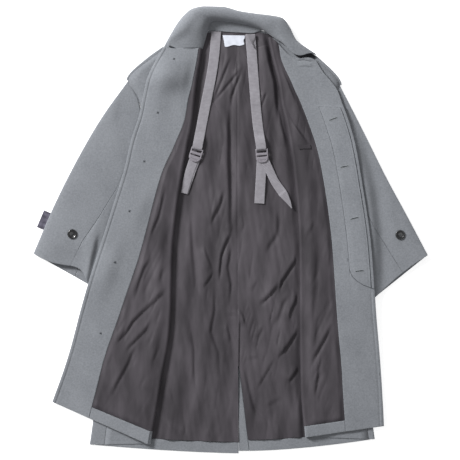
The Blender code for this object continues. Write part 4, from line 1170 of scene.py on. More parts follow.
    def height_near(self, side: Side, x: float, y: float, radius: float) -> float:
        """Finds the sleeve's highest point within a radius of a place."""
        grid = self.rings(side, np.linspace(0, 4, 81), np.linspace(0, 180, 81), 0.0).reshape(-1, 3)
        near = np.hypot(grid[:, 0] - x, grid[:, 1] - y) <= radius
        return float(grid[near, 2].max())

    def button(self, side: Side) -> None:
        """Turns a dished button: a round raised rim about a hollow, with a crossed thread in the middle."""
        r = self.button_radius
        x, y = self.button_place[side]
        level = self.height_near(side, x, y, r) + SEAM
        profile = [(0.1 / r, 0.0), *self.button_profile, (0.1 / r, 2.0)]
        disc = turned_form([(share * r, height) for share, height in profile], (x, y, level))
        disc = join_parts(f"cuff_button_horn_{side.value}", [disc])
        thread = join_parts(f"cuff_button_thread_{side.value}", crossed_stitch((x, y, level + 2.1), 2.8, 0.9, 0.6))
        dress(thread, THREAD)
        dress(disc, HORN, f"cuff_button_{side.value}")

    def woven_tab(self) -> None:
        """Lays a short band out from the left sleeve's edge, flat on the floor."""
        first, last, out = self.tab
        at = packed(first, last, 16, [first, last], 0.008)
        edge = spot(SLEEVE_ROWS[Side.LEFT], "outer", at)
        way = unit(edge[-1] - edge[0])
        away = np.array([way[1], -way[0]])
        away = away if away[0] < 0 else -away
        share = packed(-1.2, out, 20, [out], 0.8)
        places = edge[:, None] + away * share[None, :, None]
        lift = self.tab_lift + 0.8 * soft_step((6 - share) / 7)
        lift = raised(places, lift + 0.25 * waves(places[..., 0], places[..., 1], 5, 14.0, 20.0))
        lay_cloth("sleeve_tab_woven", lift, TAB, TAB_BAND, "sleeve_tab_left", ["floor"])

    def build(self) -> None:
        """Makes and dresses both sleeves, their buttons and the tab."""
        for side in Side:
            self.cloth(side, "top", self.under_seam - 360, self.top_seam)
            self.cloth(side, "under", self.top_seam, self.under_seam)
            self.button(side)
        self.woven_tab()


# Fronts


class FrontRow(NamedTuple):
    """One level of a front: its valley, its front edge and where its facing begins, as in the solids."""

    name: str
    valley_x: float
    valley_y: float
    edge_x: float
    edge_y: float
    facing: float
    sag: float


FRONT_ROWS = {
    Side.LEFT: [
        FrontRow("neck", -71, 453, -169, 453, 0.012, 0),
        FrontRow("shoulder", -75, 420, -187, 420, 0.02, 0),
        FrontRow("shoulder_point", -84, 370, -208, 375, 0.025, 0),
        FrontRow("armhole_high", -89, 325, -218, 335, 0.075, 0),
        FrontRow("armhole", -94, 275, -228, 287, 0.10, 0),
        FrontRow("armhole_low", -109, 200, -248, 225, 0.195, 0),
        FrontRow("underarm", -123, 125, -266, 150, 0.32, 0),
        FrontRow("waist", -144, -50, -314, -5, 0.41, 0),
        FrontRow("hip", -150, -230, -366, -170, 0.55, 0),
        FrontRow("thigh", -174, -385, -406, -316, 0.62, 0),
        FrontRow("hem", -199, -536, -446, -430, 0.615, 0),
    ],
    Side.RIGHT: [
        FrontRow("neck", 93, 480, 213, 424, 0.18, 20),
        FrontRow("shoulder", 103, 432, 228, 399, 0.14, 4),
        FrontRow("shoulder_point", 120, 365, 266, 350, 0.20, 0),
        FrontRow("armhole_high", 127, 315, 281, 310, 0.29, 0),
        FrontRow("armhole", 138, 270, 295, 272, 0.32, 0),
        FrontRow("armhole_low", 151, 200, 312, 209, 0.375, 0),
        FrontRow("underarm", 161, 120, 326, 130, 0.406, 0),
        FrontRow("waist", 172, -50, 350, -36, 0.44, 0),
        FrontRow("hip", 173, -225, 363, -207, 0.47, 0),
        FrontRow("thigh", 175, -385, 376, -360, 0.50, 0),
        FrontRow("hem", 185, -518, 383, -490, 0.50, 0),
    ],
}

FRONT_CREASES = {
    Side.LEFT: [
        Crease("high", ((166, 186.5), (159.8, 215.8), (150, 238.6)), 3.2, 9, 3.0),
        Crease("cross", ((168.8, 290), (154.8, 299)), 4.2, 9, 2.2),
        Crease("mid", ((154.7, 255.8), (145, 267.3), (139.2, 283.3), (134.6, 301.7)), 3.4, 11, 3.2),
        Crease("dent_high", ((176, 225), (168, 236), (170, 246)), 3.0, 9, 4.0),
        Crease("dent_low", ((172, 266), (163, 272), (161, 284)), 3.4, 9, 4.0),
        Crease(
            "drag", ((168.5, 289.8), (159.8, 297.4), (144.6, 310.4), (133.8, 321.2), (127.2, 332), (113, 347)),
            4.6, 9, 2.4,
        ),
        Crease("drag_low", ((153.3, 319), (144.6, 332), (131.6, 345), (125, 351.6)), 4.0, 9, 2.4),
        Crease("foot", ((138, 343), (129.4, 362.4), (118.6, 382), (109.9, 403.6)), 4.0, 10, 2.8),
        Crease("soft", ((176, 262), (172, 300), (160, 345), (146, 388)), 2.4, 14, 5.0),
    ],
    Side.RIGHT: [
        Crease("notch", ((316, 221), (304, 240.7)), 2.8, 7, 2.4),
        Crease("valley_mid", ((279, 82), (283.5, 104), (291, 119), (301.7, 134), (312, 148)), 5.4, 9, 3.0),
        Crease("facing_pucker", ((281, 66), (289, 84), (297, 104)), 3.2, 7, 2.6),
        Crease("drag", ((333.7, 322.8), (310.7, 363.6)), 4.2, 11, 3.0),
        Crease("drag_low", ((322, 352), (314.5, 399)), 3.4, 9, 3.0),
        Crease("soft", ((318, 240), (316, 285), (312, 330)), 2.2, 12, 4.5),
    ],
}


COLLAR_PUCKERS = [
    Crease("lap_a", ((295, 61), (304, 60), (314, 62)), 2.6, 6, 2.0, -1.0),
    Crease("lap_b", ((297, 67), (306, 66.5), (314, 68)), 2.2, 6, 2.0, -1.0),
    Crease("lap_c", ((272, 40), (285, 54), (300, 64)), 2.0, 18, 8.0, -1.0),
]


@dataclass
class Front:
    """One front: cloth that turns over at a valley and lies back over the body and the sleeve."""

    side: Side
    back: Back
    sleeves: Sleeves
    radius: float
    reach: float = 28.0
    fold_slope: float = 0.2
    settle_steps: int = 10
    hem_turn: float = 9.785
    fly: tuple[float, float] = (3.125, 7.63)
    stitch: float = 0.395
    fly_edge: float = 0.915
    groove: float = 0.93
    topstitch: float = 9.0
    usual_width: float = 150.0
    welt: tuple[float, float, float, float] = (4.86, 5.0, 2.2, 2.75)
    welt_lift: float = 5.6
    buttons: tuple = ((-141, 425), (-181, 293), (-215, 171), (-252, 47), (-287, -80), (-322, -257))
    button_height: float = 3.4
    fly_foot: tuple = ((347.0, 258), (348.8, 268.9), (352, 276.5), (356.5, 281), (362.8, 284.8), (374, 289))
    humps: tuple = ((167, 77, 20.0, 40, 46, 40, 34), (158, 100, 3.0, 30, 26, 34, 26))
    thread_marks: tuple = ((174, 59.8), (158, 112.9), (144.4, 161.5), (129.8, 211.1), (115.2, 262), (100.9, 333))
    buttonholes: tuple = ((256, 277, 20), (284, 158, 11), (308, 29, 15), (321, -102, 7))
    buttonhole_size: tuple[float, float] = (10.0, 1.4)
    fly_bend: float = 7.36
    coarse_levels: dict = field(default_factory=lambda: {
        Side.LEFT: (0, 0.5, 1, 1.5, 2, 3, 4, 5, 6, 6.2, 6.6, 7, 7.5, 8, 8.5, 9, 9.4, 9.785, 10),
        Side.RIGHT: (0, 0.5, 1, 1.5, 2, 3, 3.125, 4, 4.86, 5, 6, 6.2, 6.6, 7, 7.63, 8, 8.5, 9, 9.4, 9.785, 10),
    })
    coarse_places: dict = field(default_factory=lambda: {
        Side.LEFT: (2, 2.25, 2.5, 2.75, 3, 3.33, 3.66, 4),
        Side.RIGHT: (2, 2.2, 2.5, 2.75, 3, 3.2, 3.395, 3.65, 3.915, 3.93, 4),
    })

    def __post_init__(self) -> None:
        """Settles the folded-back part once, on the solids' coarse grid."""
        self.levels = np.array(self.coarse_levels[self.side], float)
        self.places = np.array(self.coarse_places[self.side], float)
        self.fold_places = np.concatenate([np.linspace(0, 1, 8)[:-1], np.linspace(1, 2, 14)[:-1]])
        self.heights = self.settle()

    def across(self, at: np.ndarray, places: np.ndarray) -> np.ndarray:
        """Goes from the side seam, 0, to the valley, 1, round half a circle to 2, and out to the front edge, 4.

        Args:
            at: Levels.
            places: Places across.

        Returns:
            Points, levels by places by 3. The part from 2 on is level.
        """
        rows = FRONT_ROWS[self.side]
        at, places = np.asarray(at, float), np.asarray(places, float)
        valley, edge = spot(rows, "valley", at), spot(rows, "edge", at)
        along = spot(rows, "valley", np.minimum(at + 0.01, 10)) - spot(rows, "valley", np.maximum(at - 0.01, 0))
        outward = unit(np.column_stack([along[:, 1], -along[:, 0]]))
        outward *= self.side.sign * np.sign(outward[:, :1])
        centre = valley + outward * (self.radius + TO_SATIN + SATIN / 2)
        seam = self.back.side_seam(self.side, at, SEAM / 2)
        split, sag = column(rows, "facing", at)[:, None], column(rows, "sag", at)[:, None]
        q = places[None, :]
        low = seam[:, None] + (centre - seam)[:, None] * q[..., None]
        angle = math.pi * (q - 1.5)
        turn = centre[:, None] - outward[:, None] * (self.radius * np.cos(angle))[..., None]
        part = np.where(q < 3, split * (q - 2), split + (1 - split) * (q - 3))
        high = centre[:, None] + (edge - centre)[:, None] * part[..., None]
        high[..., 1] -= sag * np.sin(math.pi * np.clip(part / 0.95, 0, 1)) ** 2
        place = np.where(q[..., None] < 1, low, np.where(q[..., None] < 2, turn, high))
        turn_height = FRONT_Z + self.radius + self.radius * np.sin(angle)
        height = np.where(q < 1, FRONT_Z, np.where(q < 2, turn_height, FRONT_Z + 2 * self.radius))
        return raised(place, height)

    def supports(self) -> np.ndarray:
        """Lists points that the folded-back part may rest on: the body's top face and the sleeve."""
        at = np.linspace(0, 10, 101)
        turn, _ = self.back.rim(self.side, at)
        valley = spot(FRONT_ROWS[self.side], "valley", at)
        shares = np.linspace(0, 1, 31)
        body = raised(turn[:, None] + (valley - turn)[:, None] * shares[None, :, None], FRONT_TOP).reshape(-1, 3)
        sleeve = self.sleeves.rings(self.side, np.linspace(0, 4, 61), np.linspace(0, 180, 41), 0.0)
        return np.concatenate([body, sleeve.reshape(-1, 3)])

    def rest_on(self, spots: np.ndarray, supports: np.ndarray) -> np.ndarray:
        """Takes the highest support within reach, keeps a gentle slope from the fold, and averages the steps out.

        Args:
            spots: Places in mm, levels by places by 2.
            supports: Points that hold the cloth up.

        Returns:
            Heights of the cloth's middle.
        """
        flat = spots.reshape(-1, 2)
        apart = np.linalg.norm(flat[:, None] - supports[None, :, :2], axis=-1)
        held = np.where(apart < self.reach, supports[None, :, 2] + SEAM + MELTON / 2, MELTON / 2)
        low = held.max(axis=1).reshape(spots.shape[:2])
        start = FRONT_Z + 2 * self.radius
        low[:, 0] = start
        low = np.maximum(low, start - self.fold_slope * np.linalg.norm(spots - spots[:, :1], axis=-1))
        height = low.copy()
        for _ in range(self.settle_steps):
            padded = np.pad(height, 1, mode="edge")
            mean = (padded[:-2, 1:-1] + padded[2:, 1:-1] + padded[1:-1, :-2] + padded[1:-1, 2:]) / 4
            height = np.maximum(low, mean)
            height[:, 0] = start
        return height

    def settle(self) -> np.ndarray:
        """Lays the folded-back part over the body and sleeve, and on the left over the buttons too."""
        spots = self.across(self.levels, self.places)[..., :2]
        supports = self.supports()
        if self.side is Side.LEFT:
            plain = self.rest_on(spots, supports).reshape(-1)
            flat = spots.reshape(-1, 2)
            for x, y in self.buttons:
                near = np.argsort(np.hypot(flat[:, 0] - x, flat[:, 1] - y))[:4]
                under = plain[near].max() - MELTON / 2 + self.button_height
                supports = np.concatenate([supports, [(x, y, under)]])
        return self.rest_on(spots, supports)

    def swell(self, x: np.ndarray, y: np.ndarray) -> np.ndarray:
        """Adds broad soft waves to the thick cloth, humps on the left and small puckers by the collar on the right."""
        seed = 11 if self.side is Side.LEFT else 17
        height = 0.9 + 0.7 * waves(x, y, seed, 110.0, 170.0, 6)
        if self.side is Side.LEFT:
            for px, py, rise, west, east, north, south in self.humps:
                (cx, cy), = from_photo([(px, py)])
                wide, deep = np.where(x < cx, west, east), np.where(y > cy, north, south)
                height = height + rise * bell((x - cx) / wide, (y - cy) / deep)
        else:
            height = height + crease_relief(COLLAR_PUCKERS, x, y)
        return np.maximum(height, 0.0)

    def surface(self, at: np.ndarray, places: np.ndarray) -> tuple[np.ndarray, np.ndarray]:
        """Joins the fold with the settled heights, read between the coarse points by smooth curves, and the swell.

        Args:
            at: Levels.
            places: Places across.

        Returns:
            Middle of the cloth and its normals, up on the folded-back part.
        """
        grid = self.across(at, places)
        smooth = curve_through(self.levels, self.heights, at)
        smooth = curve_through(self.places, smooth.T, np.clip(places, 2, 4)).T
        upper = places >= 2
        away = np.linalg.norm(grid[:, upper, :2] - self.across(at, np.array([2.0]))[..., :2], axis=-1)
        lift = self.swell(grid[:, upper, 0], grid[:, upper, 1]) * soft_step(away / 30)
        grid[:, upper, 2] = smooth[:, upper] + lift
        return grid, normals_of(grid)

    def edge_distance(self, at: np.ndarray, places: np.ndarray) -> np.ndarray:
        """Measures how far places on the facing are from the front edge, in mm."""
        rows = FRONT_ROWS[self.side]
        length = np.linalg.norm(spot(rows, "edge", at) - spot(rows, "valley", at), axis=-1) - self.radius - TO_SATIN
        split = column(rows, "facing", at)
        return (4 - places)[None, :] * (length * (1 - split))[:, None]

    def lining(self) -> tuple[np.ndarray, np.ndarray]:
        """Moves the lining's part of the surface out by the gap to satin, and adds its creases and small waves.

        Returns:
            Middle of the cloth and its normals.
        """
        at = packed(0, self.hem_turn - 0.003, 250, [0, self.hem_turn - 0.003], 0.01)
        places = np.concatenate([self.fold_places, packed(2, 2.997, 44, [2.997], 0.02)])
        grid, normals = self.surface(at, places)
        x, y = grid[..., 0], grid[..., 1]
        seed = 61 if self.side is Side.LEFT else 67
        loose = 4.2 + 1.4 * waves(x - 0.25 * y, y, seed, 50.0, 190.0)
        fine = 1.0 * stray_creases(x - 0.3 * y, y, seed + 3, 40.0, 180.0)
        drag = 3.2 * stray_creases(0.79 * x - 0.61 * y, 0.61 * x + 0.79 * y, 57, 34.0, 170.0) * bell((y + 250) / 170)
        lift = np.maximum(loose + fine + drag + crease_relief(FRONT_CREASES[self.side], x, y), 0.0)
        spots = grid[..., :2]
        ends = self.across(at, np.array([2.0]))[..., :2], spots[:, -1:], spots[-1:]
        from_valley, from_facing, from_hem = (np.linalg.norm(spots - end, axis=-1) for end in ends)
        lift *= soft_step(from_valley / 26) * (places >= 2)
        lift *= (0.25 + 0.75 * soft_step(from_facing / 12)) * soft_step(from_hem / 9 + 0.15)
        return grid + normals * (TO_SATIN + lift)[..., None], normals

    def facing(self) -> tuple[np.ndarray, np.ndarray, np.ndarray]:
        """Moves the facing's surface out by the gap to melton, with a stitched groove and a puffed edge beside it.

        On the right the groove starts below the fly, and the cells under the fly strip are left out.

        Returns:
            Middle of the cloth, its normals, and which cells have cloth.
        """
        is_left = self.side is Side.LEFT
        at = packed(0, 10, 240, [0, 10] if is_left else [0, *self.fly, 10], 0.012)
        wide = self.usual_width
        marks = [3.003, 4, 4 - self.topstitch / wide]
        if not is_left:
            marks += [3 + self.stitch, 3 + self.groove]
        places = packed(3.003, 4, 34, marks, 4.0 / wide)
        grid, normals = self.surface(at, places)
        distance = self.edge_distance(at, places)
        below_fly = np.ones(len(at)) if is_left else soft_step((at - self.fly[1] - 0.02) / 0.05)
        groove = bell((distance - self.topstitch) / 1.3)
        puff = 0.5 * bell((distance - self.topstitch / 2) / 3.0)
        inner = soft_step((places - 3)[None, :] * wide / 14)
        ease = 0.3 * waves(grid[..., 0], grid[..., 1], 71, 60.0, 80.0) * inner
        lift = (puff - groove) * below_fly[:, None] + ease
        keep = np.ones((len(at) - 1, len(places) - 1), bool)
        if not is_left:
            rows = (at[:-1] >= self.fly[0] - 1e-6) & (at[1:] <= self.fly[1] + 1e-6)
            columns = (places[:-1] >= 3 + self.stitch - 1e-6) & (places[1:] <= 3 + self.groove + 1e-6)
            keep = ~np.outer(rows, columns)
        return grid + normals * (TO_MELTON + lift)[..., None], normals, keep

    def add(
        self, name: str, middle: np.ndarray, normals: np.ndarray, node: str, on: str, satin: bool = False,
        keep: np.ndarray | None = None,
    ) -> bpy.types.Object:
        """Makes and dresses one sheet of the front.

        Args:
            name: Name of the piece.
            middle: Middle of the cloth.
            normals: Its normals.
            node: CAD node that it replaces.
            on: What it lies on.
            satin: Whether it is of satin, and not of melton.
            keep: Says which cells have cloth.

        Returns:
            The piece.
        """
        edges = (True, not name.startswith("fly_"), not name.startswith(("front_cloth", "fly_")), True)
        held = "folded" if name.startswith("front_") else "laid"
        thickness, finish = (SATIN, LINING_SATIN) if satin else (MELTON, WOOL)
        return lay_cloth(
            name, middle, thickness, finish, node, [on], held, normals=normals, edges=edges, keep=keep
        )

    def build_fly(self, shell: str) -> None:
        """Makes the fly strip: a flap from its stitched line to a free edge, a little raised, with four buttonholes
        whose slits are dark bars of painted shadow.

        Args:
            shell: Name of the front that it lies on.
        """
        head = self.fly[0] + 0.006
        at = packed(head, self.fly[1], 150, [head, self.fly[1]], 0.012)
        first, last = 3 + self.stitch, 3 + self.fly_edge
        places = packed(first, last, 34, [first, last], 0.02)
        grid, normals = self.surface(at, places)
        share = (places - first) / (last - first)
        straight = 1 - soft_step((at - self.fly_bend) / 0.12)[:, None]
        dip = 0.9 * bell(share / 0.05) * straight + 0.5 * bell((share - 0.93) / 0.035)
        lift = 0.9 * soft_step(share / 0.3) * np.maximum(straight, share) - dip
        lift *= 1 - soft_step((at - self.fly[1] + 0.1) / 0.1)[:, None]
        slits, rims = [], []
        half, wide = self.buttonhole_size
        slope = np.linspace(-1, 1, 13)
        angle = np.linspace(0, 2 * math.pi, 41)
        loop = np.column_stack([
            (half + 1.0) * np.sign(np.cos(angle)) * np.abs(np.cos(angle)) ** 0.6, (wide + 0.3) * np.sin(angle)
        ])
        for x, y, degrees in self.buttonholes:
            along, beside = np.moveaxis(turned(grid[..., :2] - (x, y), -degrees, (0, 0)), -1, 0)
            lift = lift + 0.3 * bell(np.maximum(np.abs(along) - half, 0) / 2.5, beside / 4.0)
            nearest = np.unravel_index(np.argmin(np.hypot(along, beside)), along.shape)
            level = float(grid[nearest][2]) + TO_MELTON + float(lift[nearest]) + MELTON / 2
            line = turned(np.column_stack([slope * half, 0 * slope]), degrees, (x, y))
            tilt = (self.level_at(grid, *line[-1]) - self.level_at(grid, *line[0])) / 2
            # Each slit is a dark bar of painted shadow along the buttonhole.
            slits.append(bar_along(np.column_stack([line, level + tilt * slope]), 2.6, 1.0, 2.0, 10))
            rim = np.column_stack([turned(loop, degrees, (x, y)), level + tilt * loop[:, 0] / half])
            rims.append(bar_along(rim, wide, 0.9, 2.0, 10))
        middle = grid + normals * (TO_MELTON + lift)[..., None]
        foot = from_photo(self.fly_foot)
        level = [self.level_at(middle, x, y) + MELTON / 2 + 0.3 for x, y in foot]
        stitching = bar_along(np.column_stack([foot, level]), 1.5, 0.7, 2.0, 10)
        dress(join_parts("fly_foot_stitching", [stitching]), THREAD)
        self.add("fly_cloth_right", middle, normals, "fly_strip_right", shell)
        # The slits are dressed in the near-black painted shadow finish.
        dress(join_parts("buttonhole_slits", slits), SLIT_PAINTED_SHADOW)
        dress(join_parts("buttonhole_stitching", rims), GREY_THREAD)

    def level_at(self, grid: np.ndarray, x: float, y: float) -> float:
        """Reads a grid's height at its point nearest to a place."""
        return float(grid[..., 2].ravel()[np.argmin(np.hypot(grid[..., 0] - x, grid[..., 1] - y))])

    def mark_threads(self, middle: np.ndarray) -> None:
        """Puts a small crossed stitch on the left facing over each button."""
        bars = []
        for x, y in from_photo(self.thread_marks):
            bars += crossed_stitch((x, y, self.level_at(middle, x, y) + MELTON / 2), 3.0, 1.5, 0.5)
        dress(join_parts("button_thread_marks", bars), THREAD)

    def build(self) -> None:
        """Makes and dresses the front and what lies on its folded-back part."""
        word = self.side.value
        at = packed(0, 10, 120, [0, 10], 0.012)
        places = np.concatenate([self.fold_places, packed(2, 4, 52, [4], 0.02)])
        grid, normals = self.surface(at, places)
        shell = self.add(f"front_cloth_{word}", grid, normals, f"front_{word}", f"back_cloth_{word}")
        middle, normals = self.lining()
        self.add(f"front_lining_cloth_{word}", middle, normals, f"front_lining_{word}", shell.name, satin=True)
        at = packed(self.hem_turn + 0.002, 10, 12, [self.hem_turn, 10], 0.008)
        grid, normals = self.surface(at, packed(2, 2.997, 46, [2, 2.997], 0.01))
        self.add(f"front_hem_cloth_{word}", grid + normals * TO_MELTON, normals, f"front_hem_{word}", shell.name)
        middle, normals, keep = self.facing()
        self.add(f"facing_cloth_{word}", middle, normals, f"facing_{word}", shell.name, keep=keep)
        if self.side is Side.LEFT:
            self.mark_threads(middle)
            for number in range(1, 7):
                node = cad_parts[f"front_button_{number}"]
                node.data.materials.clear()
                node.data.materials.append(HORN.material())
        else:
            self.build_fly(shell.name)
            self.build_welt()

    def build_welt(self) -> None:
        """Makes the inner pocket's welt, a narrow raised band of satin on the right lining."""
        top, foot, first, last = self.welt
        at = packed(top, foot, 12, [top, foot], 0.012)
        grid, normals = self.surface(at, packed(first, last, 30, [first, last], 0.015))
        middle = grid + normals * (TO_SATIN + SATIN + self.welt_lift)
        self.add("pocket_welt_satin", middle, normals, "pocket_welt_right", "front_lining_cloth_right", satin=True)


# Collar


class CollarRow(NamedTuple):
    """One section of the collar, from its inner edge over the ridge to its outer edge, as in the solids."""

    name: str
    inner_x: float
    inner_y: float
    inner_z: float
    ridge: float
    ridge_z: float
    outer_x: float
    outer_y: float
    outer_z: float
    sag: float


COLLAR_ROWS = [
    CollarRow("left_end", -71, 452.6, 9, 0.35, 19.5, -168, 452.8, 14, 0),
    CollarRow("left_front", -64, 475, 10, 0.60, 28, -153, 481, 9, 0),
    CollarRow("left_side", -58, 497, 11, 0.56, 37, -136, 511, 2, 0),
    CollarRow("left_turn", -54, 512, 12, 0.55, 40, -116, 536, 2, 0),
    CollarRow("left_back", -46, 521, 12, 0.55, 40, -95, 552, 2, 0),
    CollarRow("back_left", -31, 523, 12, 0.55, 38, -64, 558, 2, 0),
    CollarRow("back", -1, 520, 12, 0.55, 36, -21, 557, 2, 0),
    CollarRow("back_right", 36, 514, 12, 0.55, 35, 23, 546, 2, 0),
    CollarRow("right_back", 66, 506, 12, 0.50, 34, 64, 540, 2, 0),
    CollarRow("right_turn", 87, 496, 13, 0.50, 34, 98, 536, 2, 0),
    CollarRow("right_side", 99, 488, 14, 0.45, 32, 128, 530, 2, 0),
    CollarRow("right_front", 108, 481, 14, 0.45, 30, 147, 507, 4, 0),
    CollarRow("right_lap", 114, 477, 14, 0.45, 27, 163, 475, 10, 6),
    CollarRow("right_end", 120, 473, 14, 0.42, 22, 214, 438, 10, 20),
]


class StandRow(NamedTuple):
    """One place on the foot of the stand, under a section of the collar."""

    section: float
    foot_x: float
    foot_y: float


STAND_ROWS = [
    StandRow(3, -57, 499),
    StandRow(4, -49, 499),
    StandRow(5, -33, 498),
    StandRow(6, -1, 495),
    StandRow(7, 36, 493),
    StandRow(8, 66, 490),
    StandRow(9, 83, 485),
]


@dataclass
class Collar:
    """The soft roll of the collar: upper collar, under collar and the stand inside the neck."""

    stand_top: float = 9.6
    stand_tuck: float = 3.4
    stitch_in: float = 8.0
    slit: tuple = ((169.4, 46.6), (176.8, 49.8))
    neck_seam: tuple = ((183.5, 48.6), (201.5, 48.0))
    roll: tuple = (
        (158, 50), (164.6, 46.5), (173, 42.6), (180.7, 38.8), (188, 33), (191.6, 28.4), (194.6, 23.3), (202.7, 16),
        (212, 12),
    )
    under_from: float = 0.14
    # How far the under collar's near-black end is drawn out and down, in mm: painted shade in the gap under the
    # collar's end.
    shade_tongue: tuple[float, float] = (13.0, 9.0)
    lowest: float = 1.2

    def arch(self, at: np.ndarray, places: np.ndarray) -> np.ndarray:
        """Rises as a quarter ellipse from the inner edge to the ridge, and falls as another to the outer edge.

        Args:
            at: Sections.
            places: Places across, 0 to 1, with the ridge at 0.5.

        Returns:
            Points in mm.
        """
        place = np.asarray(places, float)[None, :]
        at = np.asarray(at, float)[:, None]
        inner, outer = spot(COLLAR_ROWS, "inner", at), spot(COLLAR_ROWS, "outer", at)
        names = ("ridge", "inner_z", "ridge_z", "outer_z", "sag")
        ridge, low_in, top, low_out, sag = (column(COLLAR_ROWS, name, at) for name in names)
        angle = np.where(place <= 0.5, place, place - 0.5) * math.pi
        part = np.where(place <= 0.5, ridge * (1 - np.cos(angle)), ridge + (1 - ridge) * np.sin(angle))
        rise = low_in + (top - low_in) * np.sin(angle)
        fall = low_out + (top - low_out) * np.maximum(np.cos(angle), 0.0) ** 0.6
        height = np.where(place <= 0.5, rise, fall)
        spots = inner + (outer - inner) * part[..., None]
        spots[..., 1] -= sag * np.sin(math.pi * np.clip(part / 0.95, 0, 1)) ** 2
        soft = 0.8 * waves(at * 60.0, place * 60.0, 91, 120.0, 60.0) * np.sin(math.pi * place)
        return raised(spots, height + soft)

    def stand(self) -> np.ndarray:
        """Rises from the stand's foot on the lining to a line a little outside the collar's inner edge."""
        at = packed(0, 6, 60, [0, 6], 0.03)
        section = 3 + at
        foot = spot(STAND_ROWS, "foot", at)
        edge, outer = spot(COLLAR_ROWS, "inner", section), spot(COLLAR_ROWS, "outer", section)
        head = edge + unit(outer - edge) * self.stand_tuck
        foot = head + (foot - head) * (0.12 + 0.88 * soft_step((6 - at) / 1.6))[:, None]
        share = packed(0, 1, 14, [0, 1], 0.06)
        low = LINING_Z + SATIN / 2 + SEAM + MELTON / 2 + 0.9
        spots = foot[:, None] + (head - foot)[:, None] * share[None, :, None]
        return raised(spots, low + (self.stand_top + 0.3 - low) * share**1.5)

    def build(self) -> None:
        """Makes and dresses the collar's three pieces, a dark bar of painted shadow in its slit, the slit's stitching
        and the end of its seam.
        """
        at = packed(0, 13, 170, [0, 13], 0.04)
        places = packed(0, 1, 56, [0, 1], 0.03)
        grid = self.arch(at, places)
        normals = normals_of(grid)
        if normals[len(at) // 2, len(places) // 2, 2] < 0:
            normals = -normals
        distance = run_along(grid, 1)[:, -1:] - run_along(grid, 1)
        middle = grid - normals * (0.8 * bell((distance - self.stitch_in) / 1.2))[..., None]
        roll = Crease("roll", self.roll, 3.2, 12, 10.0, -1.0)
        middle[..., 2] += crease_relief([roll], middle[..., 0], middle[..., 1])
        middle[..., 2] = np.maximum(middle[..., 2], self.lowest)
        rests_on = ["collar_under_cloth", "collar_stand_cloth"]
        lay_cloth("collar_upper_cloth", middle, MELTON, WOOL, "collar_upper", rests_on, "folded", normals=normals)
        shown = places > self.under_from
        inner, normals = (grid - normals * TO_MELTON)[:, shown], normals[:, shown]
        # The under collar's end becomes a near-black tongue that shows in the gap under the collar's end, as painted
        # shade.
        shade_tongue = soft_step((at - 12.5) / 0.5)[:, None] * bell((places[shown] - 0.76) / 0.2)
        inner[..., 1] -= self.shade_tongue[0] * shade_tongue
        inner[..., 2] = np.maximum(inner[..., 2] - self.shade_tongue[1] * shade_tongue, self.lowest)
        lay_cloth(
            "collar_under_cloth", inner, MELTON, UNDERCOLLAR_PAINTED_SHADE, "collar_under", ["collar_stand_cloth"], "folded",
            normals=normals,
        )
        lines = (
            # collar_slit is a near-black bar of painted shadow inside the slit.
            ("collar_slit", self.slit, 0.0, 4.4, SLIT_PAINTED_SHADOW),
            ("collar_slit_stitching", self.slit, -3.0, 1.5, GREY_THREAD),
            ("neck_seam_line", self.neck_seam, 0.0, 1.3, THREAD),
        )
        for name, ends, shift, thick, finish in lines:
            spine = np.linspace(*from_photo(ends), 11) + (shift * 0.3, shift)
            apart = np.linalg.norm(middle[None, ..., :2] - spine[:, None, None], axis=-1).reshape(len(spine), -1)
            top = middle[..., 2].ravel()[apart.argmin(axis=1)] + MELTON / 2 + 0.3 * (thick - 1.3)
            dress(join_parts(name, [bar_along(np.column_stack([spine, top]), thick, 1.6, 2.0, 12)]), finish)
        linings = ["back_lining_cloth_left", "back_lining_cloth_right"]
        lay_cloth("collar_stand_cloth", self.stand(), MELTON, WOOL, "collar_stand", linings)


# Straps and label


class Station(NamedTuple):
    """A place along the middle of a band, and its width there, in mm."""

    x: float
    y: float
    width: float


